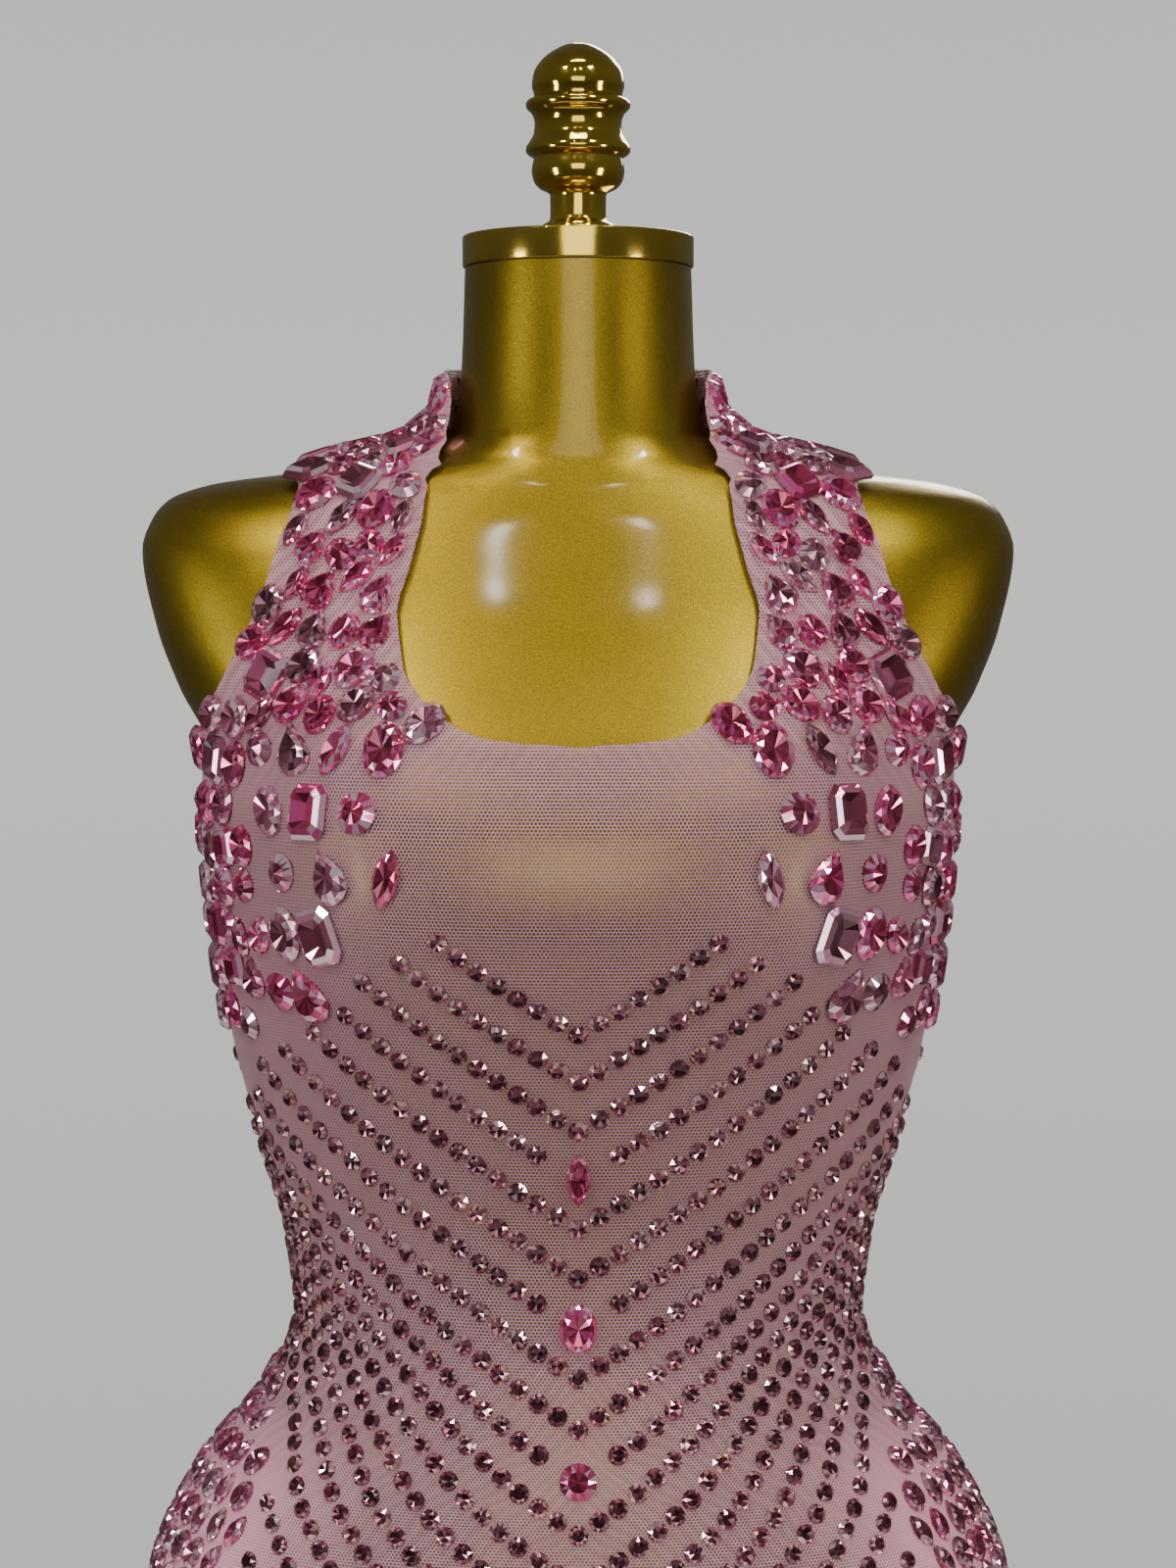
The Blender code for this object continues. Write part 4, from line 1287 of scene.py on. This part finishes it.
def keep_clear(places, taken, clearance):
    """Places that keep clear of large stones and other rows; a crowded row pauses."""
    seats = cloth_points(np.array([t for t, z in taken]), np.array([z for t, z in taken]), 0.0)
    reach = np.array(clearance)
    rows = np.full(len(seats), -1)
    kept = []
    paused = {}
    wanted = cloth_points(np.array([p[0] for p in places]), np.array([p[1] for p in places]), 0.0)
    for (turn, height, row), seat in zip(places, wanted):
        far = np.linalg.norm(seats - seat, axis=1) - reach
        others = np.where(rows == row, 1.0, far)
        if np.any(far < 0.0) or (paused.get(row) and np.any(others[rows >= 0] < ROW_PAUSE)):
            paused[row] = bool(np.any(others[rows >= 0] < 0.0)) or paused.get(row, False)
            continue
        paused[row] = False
        kept.append((turn, height))
        seats = np.vstack([seats, seat])
        reach = np.append(reach, SMALL_CLEARANCE)
        rows = np.append(rows, row)
    return kept


taken = [(s[0], s[1]) for s in large_stones + centre_stones + hip_stones]
clearance = [stone_reach(s) + SMALL_RADIUS + 0.0006 for s in large_stones + centre_stones + hip_stones]


def small_stones(rows, mirror_back):
    places = []
    for turn, height, arc, row in rows:
        boundary = SMALL_STONES_TOP - SMALL_STONES_FALL * max(arc - SMALL_STONES_LEVEL, 0.0)
        if not mirror_back and height > boundary - 0.004:
            continue
        if mirror_back:
            share = (turn - math.pi / 2) / (math.pi / 2)
            if height > back_edge_height(share) - 0.010:
                continue
        places.append((turn, height, row))
    kept = keep_clear(places, taken, clearance)
    kept += [(-turn, height) for turn, height in kept if 0.001 < turn < math.pi - 0.001]
    dice = random.Random(17)
    size = ("round", SMALL_RADIUS, SMALL_RADIUS, SMALL_HEIGHT)
    return [(turn, height, *size, dice.uniform(0.0, 3.0), dice.uniform(0.0, 1.0)) for turn, height in kept]


def back_edge_height(share):
    edge = np.array(BACK_TOP_EDGE)
    return float(smooth_column(edge[:, 0], edge[:, 1], np.array([share]))[0])


front_apexes = np.arange(FRONT_TOP_ROW, HEM - 0.15, -ROW_SPACING)
front_rows = stone_rows(front_apexes, False)
add_stones("front_round_stones", small_stones(front_rows, False), SMALL_GLASS, 8, SMALL_SINK)
back_apexes = np.arange(BACK_TOP_ROW, HEM - 0.15, -ROW_SPACING)
back_rows = stone_rows(back_apexes, True)
add_stones("back_round_stones", small_stones(back_rows, True), SMALL_GLASS, 9, SMALL_SINK)


# Floor, lights and world
# A plain pale floor and soft studio light.
def add_floor():
    points = [(0.0, 0.0, 0.0)]
    steps = 96
    radius = 1.05
    for k in range(steps):
        angle = math.tau * k / steps
        points.append((radius * math.cos(angle), radius * math.sin(angle), 0.0))
    faces = [(0, 1 + k, 1 + (k + 1) % steps) for k in range(steps)]
    mesh = bpy.data.meshes.new("floor")
    mesh.from_pydata(points, [], faces)
    material, tree, shader = new_material("pale_floor")
    shader.inputs["Base Color"].default_value = (0.62, 0.62, 0.60, 1.0)
    shader.inputs["Roughness"].default_value = 0.7
    mesh.materials.append(material)
    floor = bpy.data.objects.new("floor", mesh)
    bpy.context.scene.collection.objects.link(floor)


def add_area_light(name, place, target, size, power, colour, dots=0):
    """A softbox, or a panel of bright dots when it has rows of them."""
    data = bpy.data.lights.new(name, "AREA")
    data.shape = "RECTANGLE"
    data.size = size[0]
    data.size_y = size[1]
    data.energy = power
    data.color = colour
    light = bpy.data.objects.new(name, data)
    bpy.context.scene.collection.objects.link(light)
    light.location = place
    light.rotation_euler = (Vector(target) - Vector(place)).to_track_quat("-Z", "Y").to_euler()
    if not dots:
        return
    data.use_nodes = True
    tree = data.node_tree
    place_node = add_node(tree, "ShaderNodeNewGeometry")
    cells = add_node(tree, "ShaderNodeTexVoronoi", voronoi_dimensions="2D", feature="F1")
    cells.inputs["Scale"].default_value = dots
    cells.inputs["Randomness"].default_value = 0.25
    tree.links.new(place_node.outputs["Parametric"], cells.inputs["Vector"])
    spot = math_node(tree, "LESS_THAN", cells.outputs["Distance"], 0.27)
    tree.links.new(math_node(tree, "MULTIPLY", spot, 4.2), tree.nodes["Emission"].inputs["Strength"])


add_floor()
CHEST = (0.0, 0.0, WAIST_HEIGHT + 0.20)
HIPS = (0.0, 0.0, WAIST_HEIGHT - 0.10)
WARM = (1.0, 0.95, 0.88)
COOL = (0.93, 0.97, 1.0)
add_area_light("left_panel", (-0.70, -0.95, 1.95), CHEST, (0.17, 0.11), 8.5, WARM, 3)
add_area_light("right_panel", (0.66, -0.90, 1.95), CHEST, (0.17, 0.11), 8.0, COOL, 3)
add_area_light("left_spot", (-0.15, -1.02, 1.74), CHEST, (0.022, 0.020), 0.34, WARM)
add_area_light("right_spot", (0.12, -1.00, 1.75), CHEST, (0.020, 0.022), 0.30, WARM)
add_area_light("overhead_strip", (0.02, -0.35, 2.30), CHEST, (0.50, 0.10), 6.0, WARM, 5)
add_area_light("front_fill", (0.0, -2.2, 1.25), HIPS, (1.2, 1.0), 10.0, (1.0, 0.99, 0.97))
add_area_light("left_low_panel", (-1.3, -0.8, 0.75), HIPS, (0.25, 0.6), 8.0, COOL)
add_area_light("right_low_panel", (1.3, -0.8, 0.70), HIPS, (0.25, 0.6), 8.0, WARM)
add_area_light("back_softbox", (0.4, 1.5, 1.7), CHEST, (0.9, 0.6), 14.0, (1.0, 1.0, 1.0))

# The world is a pale backdrop where it is seen, and a dim room with a light ceiling
# where it lights and reflects.
world = bpy.data.worlds.new("studio")
bpy.context.scene.world = world
world.use_nodes = True
world_tree = world.node_tree
room = world_tree.nodes["Background"]
direction = world_tree.nodes.new("ShaderNodeTexCoord")
split = world_tree.nodes.new("ShaderNodeSeparateXYZ")
world_tree.links.new(direction.outputs["Generated"], split.inputs[0])
height_share = math_node(world_tree, "MULTIPLY_ADD", split.outputs["Z"], 0.5, 0.5)
ceiling = colour_ramp(
    world_tree,
    height_share,
    (
        (0.30, (0.12, 0.11, 0.10)),
        (0.50, (0.17, 0.17, 0.165)),
        (0.72, (0.23, 0.23, 0.22)),
        (0.95, (0.20, 0.20, 0.19)),
    ),
)
world_tree.links.new(ceiling, room.inputs["Color"])
room.inputs["Strength"].default_value = 0.56
backdrop = world_tree.nodes.new("ShaderNodeBackground")
# The backdrop is painted brighter at mid height and darker above and below: a painted pool of light on the
# wall.
wall = colour_ramp(
    world_tree,
    height_share,
    (
        (0.35, (0.62, 0.63, 0.62)),
        (0.50, (0.74, 0.75, 0.73)),
        (0.62, (0.64, 0.65, 0.64)),
    ),
)
world_tree.links.new(wall, backdrop.inputs["Color"])
light_path = world_tree.nodes.new("ShaderNodeLightPath")
mix = world_tree.nodes.new("ShaderNodeMixShader")
world_tree.links.new(light_path.outputs["Is Camera Ray"], mix.inputs["Fac"])
world_tree.links.new(room.outputs[0], mix.inputs[1])
world_tree.links.new(backdrop.outputs[0], mix.inputs[2])
world_tree.links.new(mix.outputs[0], world_tree.nodes["World Output"].inputs["Surface"])
